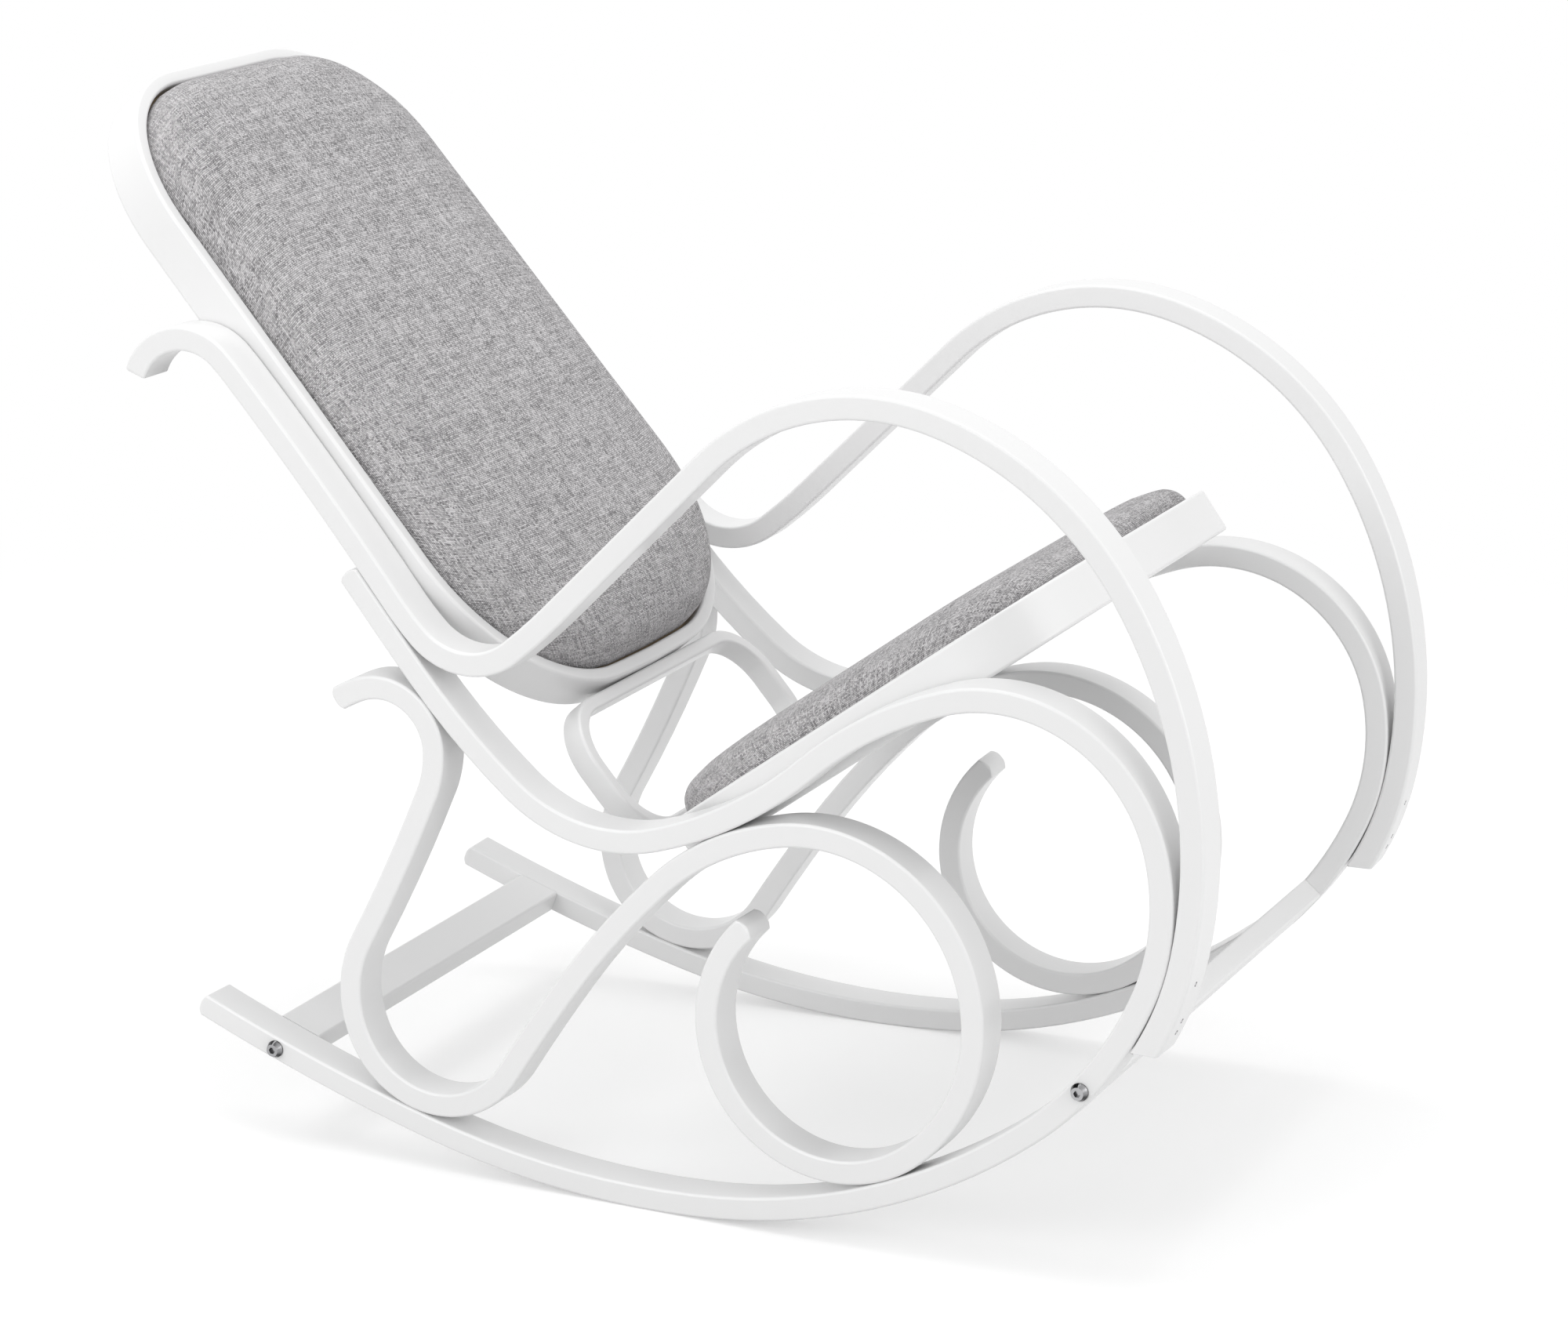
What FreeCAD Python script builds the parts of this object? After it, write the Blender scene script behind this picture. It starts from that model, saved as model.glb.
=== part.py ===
import FreeCAD, Part
import math
import os

# Bentwood rocking chair: two side frames, each of three flat strips bent into
# arcs that meet tangentially, carry an upholstered back hoop and seat hoop.
# The chair faces +X, +Y is the sitter's left, and Z = 0 is the floor.
os.makedirs("parts", exist_ok=True)
V = FreeCAD.Vector

# Overall
OVERALL_WIDTH = 536.0      # across the two arm bows at their foremost point
SPLAY = 1.94               # each side frame toes out towards the front, degrees
REST_TILT = 0.0            # turn of the whole profile that balances the empty chair

# Bent strips
STRIP_T = 19.0             # thickness in the plane of a side frame
STRIP_W = 34.0             # width across the side frame
TOUCH = 0.2                # glue line left where two strips meet
END_SAG = 4.0              # how far a rounded strip end stands out

# Hoops, panels and cushions
HOOP_T = 12.0              # wall of the bent hoops
HOOP_DEPTH = 37.0
SIDE_GAP = 0.2             # between a hoop's side and the strips outside it
BACK_LENGTH = 607.5        # back hoop, bottom to top
BACK_DROP = 137.0          # from the post's lower end down to the hoop's bottom
BACK_TURN = 0.5            # back's lean beyond the middle of the post, degrees
BACK_OUT = 1.3             # back's middle plane in front of the post's
BACK_TOP_R = 130.0
BACK_BOTTOM_R = 150.0
BACK_BOTTOM_BOW = 5.0
SEAT_LENGTH = 413.0        # seat hoop, rear to front
SEAT_SLOPE = 35.9          # rise of the seat towards its front, degrees
SEAT_X = 59.3              # a point on the seat hoop's upper rim
SEAT_Z = 30.5
SEAT_REAR_R = 128.0
SEAT_FRONT_R = 95.0
BACK_PANEL_T = 5.0
BACK_PANEL_IN = 18.0       # panel's hidden face in from the hoop's rear edge
SEAT_PANEL_T = 18.0
SEAT_PANEL_IN = 3.0        # panel's underside in from the hoop's lower edge
PANEL_GAP = 0.2
LINING_T = 1.0
PAD_GAP = 0.6              # cushion to hoop, each side
PAD_LIFT = 0.3             # cushion above its panel
BACK_CROWN = 33.0          # cushion's middle above the hoop's rim
SEAT_CROWN = 30.0
BACK_HOLLOW = 25.0         # the back pad bridges over its panel by this much
BACK_BORDER = 30.0         # width of the pad's edge that sits on the panel

# Link ring that ties the back hoop to the seat hoop
RING_WIDTH = 328.0
RING_HEIGHT = 126.0
RING_T = 12.0
RING_DEPTH = 20.0
RING_R = 52.0

# Stretchers between the runners
BAR_W = 38.0
BAR_T = 19.0
REAR_BAR_FROM_END = 72.0   # along the runner from its rear end
FRONT_BAR_FROM_END = 816.0

# Hardware
BOLT_D = 8.0
BOLT_LENGTH = 60.0
BOLT_HEAD_D = 14.0
BOLT_HEAD_H = 4.5
BOLT_SOCKET_AF = 5.0
WASHER_D = 18.0
WASHER_T = 1.2
NUT_D = 12.0
NUT_LENGTH = 16.0
NUT_FROM_END = 30.0
SCREW_D = 4.5
SCREW_HEAD_D = 8.0
SCREW_HEAD_H = 3.0
SCREW_EDGE_DEPTH = 4.0
ARM_SCREW_AT = (28.0, 38.0, 68.0)       # from the bow's lower end
ARM_SCREW_LENGTH = 30.0
FIT = 0.1                  # radial clearance of a fastener in its bore

# Bends of the three strips, seen from the sitter's left with +X to the right.
# Each row is (radius, turn in degrees), a left turn positive; a straight has
# the radius 0 and its length.
ARM_START = (-498.0, 266.5)
ARM_HEADING = 70.6
ARM_STRAIGHT = 182.0
ARM_BENDS = [
    (48.0, -114.2),        # curl over the top
    (263.0, -4.1),
    (3060.0, -4.0),        # back post
    (246.0, 7.5),
    (61.0, 83.1),          # tight bend below the back
    (486.0, 6.0),
    (0.0, ARM_STRAIGHT),   # rising armrest
    (192.0, -60.7),        # over the hand
    (258.0, -41.8),
    (366.0, -43.2),        # long front arc
    (239.0, -20.6),        # foot of the bow, against the runner
]
RUNNER_START = (-306.8, 126.2)
RUNNER_HEADING = -51.8
RUNNER_BENDS = [
    (2690.0, 2.0),         # behind the back post
    (603.0, 10.8),
    (134.0, 56.0),         # hollow behind the seat
    (337.0, 24.9),
    (316.0, -23.4),        # seat rail
    (132.0, -96.1),        # front loop
    (178.0, -35.6),
    (290.0, -28.7),
    (498.0, -34.6),        # rocker
    (741.0, -18.6),
    (1749.0, -7.1),
]
SCROLL_START = (-319.5, 28.5)
SCROLL_HEADING = 32.0
SCROLL_LOOP_R = 133.8
SCROLL_BENDS = [
    (107.0, -11.8),
    (47.7, -111.3),        # rear curl, under the runner's hollow
    (86.0, -22.3),
    (1450.0, -5.6),
    (92.0, 48.1),
    (76.2, 128.1),         # hairpin on the rocker
    (1770.0, -3.1),
    (710.0, -9.9),
    (204.0, -33.3),        # under the seat rail
    (SCROLL_LOOP_R, -154.1),
    (105.0, -172.9),       # inner turn of the scroll
]


# Paths in the side plane
def walk(start, heading, bends):
    """The path's pieces, each (x, z, heading in radians, length, curvature)."""
    x, z = start
    h = math.radians(heading)
    pieces = []
    for radius, amount in bends:
        if radius == 0:
            length, curve = amount, 0.0
        else:
            length = radius * math.radians(abs(amount))
            curve = math.copysign(1.0 / radius, amount)
        pieces.append((x, z, h, length, curve))
        x, z, h = along(pieces[-1], length)
    return pieces


def along(piece, s, side=0.0):
    """The point s along a piece, moved to its left by side, with the heading there."""
    x, z, h, length, curve = piece
    if curve == 0:
        px, pz, ph = x + s * math.cos(h), z + s * math.sin(h), h
    else:
        ph = h + curve * s
        px = x + (math.sin(ph) - math.sin(h)) / curve
        pz = z - (math.cos(ph) - math.cos(h)) / curve
    return px - side * math.sin(ph), pz + side * math.cos(ph), ph


def at_length(pieces, s, side=0.0):
    for piece in pieces[:-1]:
        if s <= piece[3]:
            return along(piece, s, side)
        s -= piece[3]
    return along(pieces[-1], s, side)


def total(pieces):
    return sum(piece[3] for piece in pieces)


def flat(x, z):
    return V(x, 0, z)


def edge_of(piece, side=0.0):
    ends = [flat(*along(piece, f * piece[3], side)[:2]) for f in (0.0, 0.5, 1.0)]
    if piece[4] == 0:
        return Part.makeLine(ends[0], ends[2])
    return Part.Arc(*ends).toShape()


def distance(some, others):
    """Least distance between two runs of centre line."""
    a = Part.Wire([edge_of(p) for p in some])
    b = Part.Wire([edge_of(p) for p in others])
    return a.distToShape(b)[0]


def settle(values, misfit, steps=6, probe=0.05):
    """Newton's method: changes the values until every misfit is nil."""
    for _ in range(steps):
        now = misfit(values)
        n = len(values)
        rows = [[0.0] * (n + 1) for _ in range(n)]
        for j in range(n):
            moved = list(values)
            moved[j] += probe
            after = misfit(moved)
            for i in range(n):
                rows[i][j] = (after[i] - now[i]) / probe
        for i in range(n):
            rows[i][n] = -now[i]
        values = [v + d for v, d in zip(values, solve(rows))]
        if max(abs(m) for m in now) < 0.005:
            break
    return values


def solve(rows):
    """Gauss elimination with pivoting on rows of an augmented matrix."""
    n = len(rows)
    for i in range(n):
        best = max(range(i, n), key=lambda r: abs(rows[r][i]))
        rows[i], rows[best] = rows[best], rows[i]
        for r in range(n):
            if r != i:
                f = rows[r][i] / rows[i][i]
                rows[r] = [a - f * b for a, b in zip(rows[r], rows[i])]
    return [rows[i][n] / rows[i][i] for i in range(n)]


PITCH = STRIP_T + TOUCH    # centre lines of two strips that touch

runner = walk(RUNNER_START, RUNNER_HEADING, RUNNER_BENDS)


def arm_path(shift, straight):
    bends = [(0.0, straight) if b[0] == 0 else b for b in ARM_BENDS]
    return walk((ARM_START[0] + shift, ARM_START[1]), ARM_HEADING, bends)


def arm_misfit(values):
    path = arm_path(*values)
    return [distance(path[2:4], runner[:2]) - PITCH, distance(path[9:], runner[5:8]) - PITCH]


def scroll_path(dx, dz, turn, loop):
    bends = list(SCROLL_BENDS)
    bends[9] = (SCROLL_LOOP_R + loop, bends[9][1])
    return walk((SCROLL_START[0] + dx, SCROLL_START[1] + dz), SCROLL_HEADING + turn, bends)


def scroll_misfit(values):
    path = scroll_path(*values)
    return [
        distance(path[0:3], runner[0:3]) - PITCH,
        distance(path[4:6], runner[8:]) - PITCH,
        distance(path[7:9], runner[3:5]) - PITCH,
        distance(path[9:11], runner[7:9]) - PITCH,
    ]


arm = arm_path(*settle([0.0, ARM_STRAIGHT], arm_misfit))
scroll = scroll_path(*settle([0.0, 0.0, 0.0, 0.0], scroll_misfit))


# Placing the side frames on either side of the middle plane
FOREMOST = Part.Wire([edge_of(p, STRIP_T / 2) for p in arm[7:]]).BoundBox.XMax
TAPER = math.tan(math.radians(SPLAY))
HALF = OVERALL_WIDTH / 2 - TAPER * FOREMOST      # outer face of a side frame at x = 0


def inner_face(x):
    """Distance from the middle plane to the strips' inner faces at x."""
    return HALF + TAPER * x - STRIP_W / math.cos(math.radians(SPLAY))


def right_side(shape):
    """From the side frame's own plane (outer face at y = 0) to the chair's right."""
    shape.rotate(V(0, 0, 0), V(0, 0, 1), -SPLAY)
    shape.translate(V(0, -HALF, 0))
    return shape


def mirrored(shape):
    return shape.mirror(V(0, 0, 0), V(0, 1, 0))


def tilted(shape):
    shape = shape.copy()
    shape.rotate(V(0, 0, 0), V(0, 1, 0), -REST_TILT)
    return shape


def save(name, shapes):
    """Writes a node's solids, turned to rest, centred and stood on the floor."""
    shapes = [tilted(s) for s in shapes]
    shape = shapes[0] if len(shapes) == 1 else Part.makeCompound(shapes)
    shape.translate(V(-MIDDLE, 0, -FLOOR))
    shape.exportStep("parts/" + name + ".step")
    print(name, len(shape.Solids), round(shape.Volume / 1000.0, 1), "cm3", shape.isValid())


# The bent strips
def cap(pieces, end, sag):
    """End of a strip: a cut face, or an arc that stands out by sag."""
    s = total(pieces) if end else 0.0
    left, right = (at_length(pieces, s, k * STRIP_T / 2)[:2] for k in (1, -1))
    if sag == 0:
        return Part.makeLine(flat(*left), flat(*right))
    x, z, h = at_length(pieces, s)
    out = sag if end else -sag
    tip = flat(x + out * math.cos(h), z + out * math.sin(h))
    return Part.Arc(flat(*left), tip, flat(*right)).toShape()


def strip(pieces, start_sag, end_sag):
    left = [edge_of(p, STRIP_T / 2) for p in pieces]
    right = [edge_of(p, -STRIP_T / 2) for p in pieces]
    edges = left + [cap(pieces, True, end_sag)] + right + [cap(pieces, False, start_sag)]
    outline = Part.Wire(Part.__sortEdges__(edges))
    return Part.Face(outline).extrude(V(0, STRIP_W, 0))


# Rounded outlines, in the plane of a hoop: u across, v along
def rounded(corners):
    """Closed outline through (u, v, radius) corners, each rounded by a tangent arc."""
    n = len(corners)
    stops = []
    for i in range(n):
        u, v, radius = corners[i]
        here = V(u, v, 0)
        back = (V(corners[i - 1][0], corners[i - 1][1], 0) - here).normalize()
        ahead = (V(corners[(i + 1) % n][0], corners[(i + 1) % n][1], 0) - here).normalize()
        half = back.getAngle(ahead) / 2
        reach = radius / math.tan(half)
        middle = (back + ahead).normalize()
        centre = here + middle * (radius / math.sin(half))
        stops.append((here + back * reach, centre - middle * radius, here + ahead * reach))
    edges = []
    for i in range(n):
        edges.append(Part.Arc(*stops[i]).toShape())
        start, finish = stops[i][2], stops[(i + 1) % n][0]
        edges.append(Part.makeLine(start, finish))
    return Part.Wire(edges)


def inset(corners, amount, least=6.0):
    """The same outline moved inwards by amount."""
    n = len(corners)
    moved = []
    for i in range(n):
        here = V(corners[i][0], corners[i][1], 0)
        back = (V(corners[i - 1][0], corners[i - 1][1], 0) - here).normalize()
        ahead = (V(corners[(i + 1) % n][0], corners[(i + 1) % n][1], 0) - here).normalize()
        half = back.getAngle(ahead) / 2
        spot = here + (back + ahead).normalize() * (amount / math.sin(half))
        moved.append((spot.x, spot.y, max(corners[i][2] - amount, least)))
    return moved


def slab(corners, low, high):
    wire = rounded(corners)
    wire.translate(V(0, 0, low))
    return Part.Face(wire).extrude(V(0, 0, high - low))


def hoop(corners, wall, depth):
    """A closed bent band, from height 0 to its depth."""
    return slab(corners, 0, depth).cut(slab(inset(corners, wall), -1, depth + 1))


def lining(corners, face):
    """Cloth on a panel's hidden face, a little short of the hoop all round."""
    return slab(inset(corners, PANEL_GAP + 4), face - LINING_T - 0.1, face - 0.1)


def cushion(corners, low, rim, crown):
    """Padded cushion: straight inside the hoop, then drawn in over its crown."""
    layers = [(low, 0.0), (rim, 0.0)]
    for turn in (35, 65):
        a = math.radians(turn)
        layers.append((rim + 0.8 * crown * math.sin(a), 24.0 * (1 - math.cos(a))))
    layers += [(rim + 0.88 * crown, 40.0), (rim + crown, 92.0)]
    wires = []
    for height, draw in layers:
        wire = rounded(inset(corners, draw, 12.0))
        wire.translate(V(0, 0, height))
        wires.append(wire)
    return Part.makeLoft(wires, True, True)


# Back: its middle plane holds the centre line of the arm bow's post
post = arm[2]
post_mid = along(post, post[3] / 2)
post_end = along(post, post[3])
BACK_ANGLE = 180 + BACK_TURN + math.degrees(post_mid[2])
BACK_AXIS = (math.cos(math.radians(BACK_ANGLE)), math.sin(math.radians(BACK_ANGLE)))
BACK_FACE = (BACK_AXIS[1], -BACK_AXIS[0])        # towards the sitter


BACK_ZERO = (post_mid[0] + BACK_OUT * BACK_FACE[0], post_mid[1] + BACK_OUT * BACK_FACE[1])


def back_point(v, out):
    """Profile point at v up the back from the post's middle, out from the back's plane."""
    return (BACK_ZERO[0] + v * BACK_AXIS[0] + out * BACK_FACE[0],
            BACK_ZERO[1] + v * BACK_AXIS[1] + out * BACK_FACE[1])


BACK_V0 = -post[3] / 2 - BACK_DROP
BACK_V1 = BACK_V0 + BACK_LENGTH


def back_half(v):
    """Half width that clears the side frames over the hoop's whole depth."""
    return inner_face(back_point(v, -HOOP_DEPTH / 2)[0]) - SIDE_GAP


back_outline = [
    (-back_half(BACK_V0), BACK_V0 + BACK_BOTTOM_BOW, BACK_BOTTOM_R),
    (0.0, BACK_V0 - BACK_BOTTOM_BOW * 0.4, 1500.0),
    (back_half(BACK_V0), BACK_V0 + BACK_BOTTOM_BOW, BACK_BOTTOM_R),
    (back_half(BACK_V1), BACK_V1, BACK_TOP_R),
    (-back_half(BACK_V1), BACK_V1, BACK_TOP_R),
]


def in_back(shape):
    """A shape drawn across, up the back and out of it, moved into the profile."""
    matrix = FreeCAD.Matrix(
        0, BACK_AXIS[0], BACK_FACE[0], BACK_ZERO[0],
        1, 0, 0, 0,
        0, BACK_AXIS[1], BACK_FACE[1], BACK_ZERO[1],
        0, 0, 0, 1)
    return shape.transformed(matrix, True)


def centred(shape):
    shape.translate(V(0, 0, -HOOP_DEPTH / 2))
    return shape


back_hoop = in_back(centred(hoop(back_outline, HOOP_T, HOOP_DEPTH)))
back_inside = inset(back_outline, HOOP_T)
back_seat = BACK_PANEL_IN + BACK_PANEL_T
back_panel = in_back(centred(slab(inset(back_inside, PANEL_GAP), BACK_PANEL_IN, back_seat)))
back_lining = in_back(centred(lining(back_inside, BACK_PANEL_IN)))
back_pad = cushion(inset(back_inside, PAD_GAP), back_seat + PAD_LIFT, HOOP_DEPTH, BACK_CROWN)
back_pad = back_pad.cut(slab(inset(back_inside, BACK_BORDER), back_seat, back_seat + BACK_HOLLOW))
back_cushion = in_back(centred(back_pad))

# Link ring, hanging from the back hoop's bottom in the same plane
RING_TOP = rounded(back_outline).BoundBox.YMin - TOUCH
RING_BOTTOM = RING_TOP - RING_HEIGHT
ring_outline = [
    (-RING_WIDTH / 2, RING_BOTTOM, RING_R),
    (RING_WIDTH / 2, RING_BOTTOM, RING_R),
    (RING_WIDTH / 2, RING_TOP, RING_R),
    (-RING_WIDTH / 2, RING_TOP, RING_R),
]
ring = hoop(ring_outline, RING_T, RING_DEPTH)
ring.translate(V(0, 0, -RING_DEPTH / 2))
ring = in_back(ring)

# Seat: the hoop's rear face lies against the ring's lower bar
SEAT_AXIS = (math.cos(math.radians(SEAT_SLOPE)), math.sin(math.radians(SEAT_SLOPE)))
SEAT_UP = (-SEAT_AXIS[1], SEAT_AXIS[0])
ring_foot = back_point(RING_BOTTOM, RING_DEPTH / 2)
SEAT_S0 = ((ring_foot[0] - SEAT_X) * SEAT_AXIS[0] + (ring_foot[1] - SEAT_Z) * SEAT_AXIS[1]) + TOUCH
SEAT_S1 = SEAT_S0 + SEAT_LENGTH


def seat_point(s, up):
    return (SEAT_X + s * SEAT_AXIS[0] + up * SEAT_UP[0], SEAT_Z + s * SEAT_AXIS[1] + up * SEAT_UP[1])


def seat_half(s):
    """Half width that clears the side frames over the hoop's whole depth."""
    return min(inner_face(seat_point(s, up)[0]) for up in (0, -HOOP_DEPTH)) - SIDE_GAP


seat_outline = [
    (-seat_half(SEAT_S0), SEAT_S0, SEAT_REAR_R),
    (seat_half(SEAT_S0), SEAT_S0, SEAT_REAR_R),
    (seat_half(SEAT_S1), SEAT_S1, SEAT_FRONT_R),
    (-seat_half(SEAT_S1), SEAT_S1, SEAT_FRONT_R),
]


def in_seat(shape):
    shape.translate(V(0, 0, -HOOP_DEPTH))
    matrix = FreeCAD.Matrix(
        0, SEAT_AXIS[0], SEAT_UP[0], SEAT_X,
        -1, 0, 0, 0,
        0, SEAT_AXIS[1], SEAT_UP[1], SEAT_Z,
        0, 0, 0, 1)
    return shape.transformed(matrix, True)


seat_inside = inset(seat_outline, HOOP_T)
seat_hoop = in_seat(hoop(seat_outline, HOOP_T, HOOP_DEPTH))
seat_top = SEAT_PANEL_IN + SEAT_PANEL_T
seat_panel = in_seat(slab(inset(seat_inside, PANEL_GAP), SEAT_PANEL_IN, seat_top))
seat_lining = in_seat(lining(seat_inside, SEAT_PANEL_IN))
seat_cushion = in_seat(cushion(inset(seat_inside, PAD_GAP), seat_top + PAD_LIFT, HOOP_DEPTH, SEAT_CROWN))


# Stretchers: bars between the runners, turned with the runner where they sit
def bar(s):
    x, z, h = at_length(runner, total(runner) - s)
    reach = OVERALL_WIDTH
    block = Part.makeBox(BAR_W, 2 * reach, BAR_T, V(-BAR_W / 2, -reach, -BAR_T / 2))
    block.rotate(V(0, 0, 0), V(0, 1, 0), -math.degrees(h))
    block.translate(V(x, 0, z))
    keep = Part.makeBox(4 * BAR_W, reach, 4 * BAR_W, V(-2 * BAR_W, 0, -2 * BAR_W))
    keep.translate(V(x, STRIP_W + TOUCH, z))
    keep = right_side(keep)
    return block.common(keep).common(mirrored(keep)), (x, z)


rear_bar, rear_spot = bar(REAR_BAR_FROM_END)
front_bar, front_spot = bar(FRONT_BAR_FROM_END)


# Hardware along the side frame's Y, from its outer face inwards
def rod(diameter, spot, y0, y1):
    return Part.makeCylinder(diameter / 2, y1 - y0, V(spot[0], y0, spot[1]), V(0, 1, 0))


def hexagon(across_flats, depth):
    r = across_flats / math.sqrt(3)
    points = [V(r * math.cos(math.radians(60 * i)), 0, r * math.sin(math.radians(60 * i))) for i in range(7)]
    return Part.Face(Part.makePolygon(points)).extrude(V(0, depth, 0))


def bolt(spot):
    """Button-head bolt with a hexagon socket, its head outside the washer."""
    head = Part.makeCone(BOLT_HEAD_D / 2 - 2.0, BOLT_HEAD_D / 2, BOLT_HEAD_H, V(0, -BOLT_HEAD_H, 0), V(0, 1, 0))
    socket = hexagon(BOLT_SOCKET_AF, BOLT_HEAD_H * 0.6)
    socket.translate(V(0, -BOLT_HEAD_H - 0.01, 0))
    shank = Part.makeCylinder(BOLT_D / 2, BOLT_LENGTH, V(0, 0, 0), V(0, 1, 0))
    body = head.fuse(shank).removeSplitter().cut(socket)
    body.translate(V(spot[0], -WASHER_T, spot[1]))
    return body


def washer(spot):
    return rod(WASHER_D, spot, -WASHER_T, 0).cut(rod(BOLT_D + 2 * FIT, spot, -WASHER_T - 1, 1))


def barrel_nut(spot, heading, extra=0.0):
    """Cross dowel, its axis across the bar's thickness, tapped for the bolt."""
    out = V(-math.sin(heading), 0, math.cos(heading))
    centre = V(spot[0], STRIP_W + NUT_FROM_END, spot[1])
    if centre.y + NUT_D / 2 > BOLT_LENGTH:
        centre.y = BOLT_LENGTH - NUT_D / 2
    nut = Part.makeCylinder(NUT_D / 2 + extra, NUT_LENGTH, centre - out * (NUT_LENGTH / 2), out)
    return nut


def heading_at(s):
    return at_length(runner, total(runner) - s)[2]


BOLT_SPOTS = [(rear_spot, heading_at(REAR_BAR_FROM_END)), (front_spot, heading_at(FRONT_BAR_FROM_END))]
bolts = [right_side(bolt(spot)) for spot, _ in BOLT_SPOTS]
washers = [right_side(washer(spot)) for spot, _ in BOLT_SPOTS]
bolt_bores = [rod(BOLT_D + 2 * FIT, spot, -1, BOLT_LENGTH + 2) for spot, _ in BOLT_SPOTS]
nuts = []
for (spot, heading), bore in zip(BOLT_SPOTS, bolt_bores):
    nuts.append(right_side(barrel_nut(spot, heading).cut(bore)))


# Screws through the arm bow's lower end into the runner
def screw(foot, direction, length):
    """Countersunk screw: head at foot, its point along direction."""
    head = Part.makeCone(SCREW_HEAD_D / 2, SCREW_D / 2, SCREW_HEAD_H, foot, direction)
    shank = Part.makeCylinder(SCREW_D / 2, length, foot, direction)
    return head.fuse(shank).removeSplitter()


def screw_bore(foot, direction, length):
    head = Part.makeCone(SCREW_HEAD_D / 2 + FIT, SCREW_D / 2 + FIT, SCREW_HEAD_H, foot, direction)
    way_in = Part.makeCylinder(SCREW_HEAD_D / 2 + FIT, SCREW_EDGE_DEPTH, foot - direction * SCREW_EDGE_DEPTH, direction)
    shank = Part.makeCylinder(SCREW_D / 2 + FIT, length + 1.0, foot, direction)
    return head.fuse(way_in).fuse(shank)


arm_screws = []
arm_bores = []
for s in ARM_SCREW_AT:
    x, z, h = at_length(arm, total(arm) - s, STRIP_T / 2 - 1.0)
    inward = V(math.sin(h), 0, -math.cos(h))
    foot = V(x, STRIP_W / 2, z)
    arm_screws.append(right_side(screw(foot, inward, ARM_SCREW_LENGTH)))
    arm_bores.append(screw_bore(foot, inward, ARM_SCREW_LENGTH))


def drilled(shape, tools):
    for tool in tools:
        shape = shape.cut(tool)
    return shape


arm_strip = drilled(strip(arm, 0.0, 0.0), arm_bores)
runner_strip = drilled(strip(runner, END_SAG, END_SAG), arm_bores + bolt_bores)
scroll_strip = strip(scroll, END_SAG, END_SAG)

arm_strip, runner_strip, scroll_strip = (right_side(s) for s in (arm_strip, runner_strip, scroll_strip))
bar_tools = [right_side(b) for b in bolt_bores]
nut_tools = [right_side(barrel_nut(spot, heading, FIT)) for spot, heading in BOLT_SPOTS]
rear_bar = drilled(rear_bar, [bar_tools[0], nut_tools[0], mirrored(bar_tools[0]), mirrored(nut_tools[0])])
front_bar = drilled(front_bar, [bar_tools[1], nut_tools[1], mirrored(bar_tools[1]), mirrored(nut_tools[1])])

FLOOR = tilted(runner_strip).optimalBoundingBox().ZMin
REARMOST = tilted(back_hoop).optimalBoundingBox().XMin
MIDDLE = (tilted(arm_strip).optimalBoundingBox().XMax + REARMOST) / 2

save("arm_bow_right", [arm_strip])
save("arm_bow_left", [mirrored(arm_strip)])
save("runner_right", [runner_strip])
save("runner_left", [mirrored(runner_strip)])
save("scroll_right", [scroll_strip])
save("scroll_left", [mirrored(scroll_strip)])
save("back_hoop", [back_hoop])
save("back_panel", [back_panel])
save("back_lining", [back_lining])
save("back_cushion", [back_cushion])
save("seat_hoop", [seat_hoop])
save("seat_panel", [seat_panel])
save("seat_lining", [seat_lining])
save("seat_cushion", [seat_cushion])
save("link_ring", [ring])
save("rear_stretcher", [rear_bar])
save("front_stretcher", [front_bar])
save("stretcher_bolts", bolts + [mirrored(b) for b in bolts])
save("bolt_washers", washers + [mirrored(w) for w in washers])
save("barrel_nuts", nuts + [mirrored(n) for n in nuts])
save("arm_end_screws", arm_screws + [mirrored(s) for s in arm_screws])
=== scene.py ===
import bpy
import bmesh
import math
from mathutils import Matrix, Vector


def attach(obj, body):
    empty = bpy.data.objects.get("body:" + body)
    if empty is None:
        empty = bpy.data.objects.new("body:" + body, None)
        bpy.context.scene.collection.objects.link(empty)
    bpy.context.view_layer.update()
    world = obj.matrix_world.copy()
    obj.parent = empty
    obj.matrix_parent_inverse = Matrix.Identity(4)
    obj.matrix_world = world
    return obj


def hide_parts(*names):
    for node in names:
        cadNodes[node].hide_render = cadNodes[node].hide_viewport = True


# Bentwood rocking chair: white lacquered strips bent into loops, two hoops
# with grey upholstery, a link ring and two stretchers. Metres; +X is the
# front, +Y the sitter's left, and the floor is Z = 0.
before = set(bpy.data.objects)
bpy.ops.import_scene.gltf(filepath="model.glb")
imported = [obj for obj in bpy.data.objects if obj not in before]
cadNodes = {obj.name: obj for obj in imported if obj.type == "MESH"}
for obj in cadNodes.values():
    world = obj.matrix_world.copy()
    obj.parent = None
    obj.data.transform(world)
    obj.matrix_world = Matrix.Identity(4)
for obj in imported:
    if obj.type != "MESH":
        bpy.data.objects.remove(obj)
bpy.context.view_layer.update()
print("frame loaded:", len(cadNodes), "nodes")


# Node helpers
def addNode(tree, kind, **settings):
    node = tree.nodes.new(kind)
    for name, value in settings.items():
        setattr(node, name, value)
    return node


def feed(tree, socket, value):
    if isinstance(value, bpy.types.NodeSocket):
        tree.links.new(value, socket)
    else:
        socket.default_value = value


def calc(tree, operation, first, second=0.0, third=0.0):
    node = addNode(tree, "ShaderNodeMath", operation=operation)
    for socket, value in zip(node.inputs, (first, second, third)):
        feed(tree, socket, value)
    return node.outputs[0]


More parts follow.
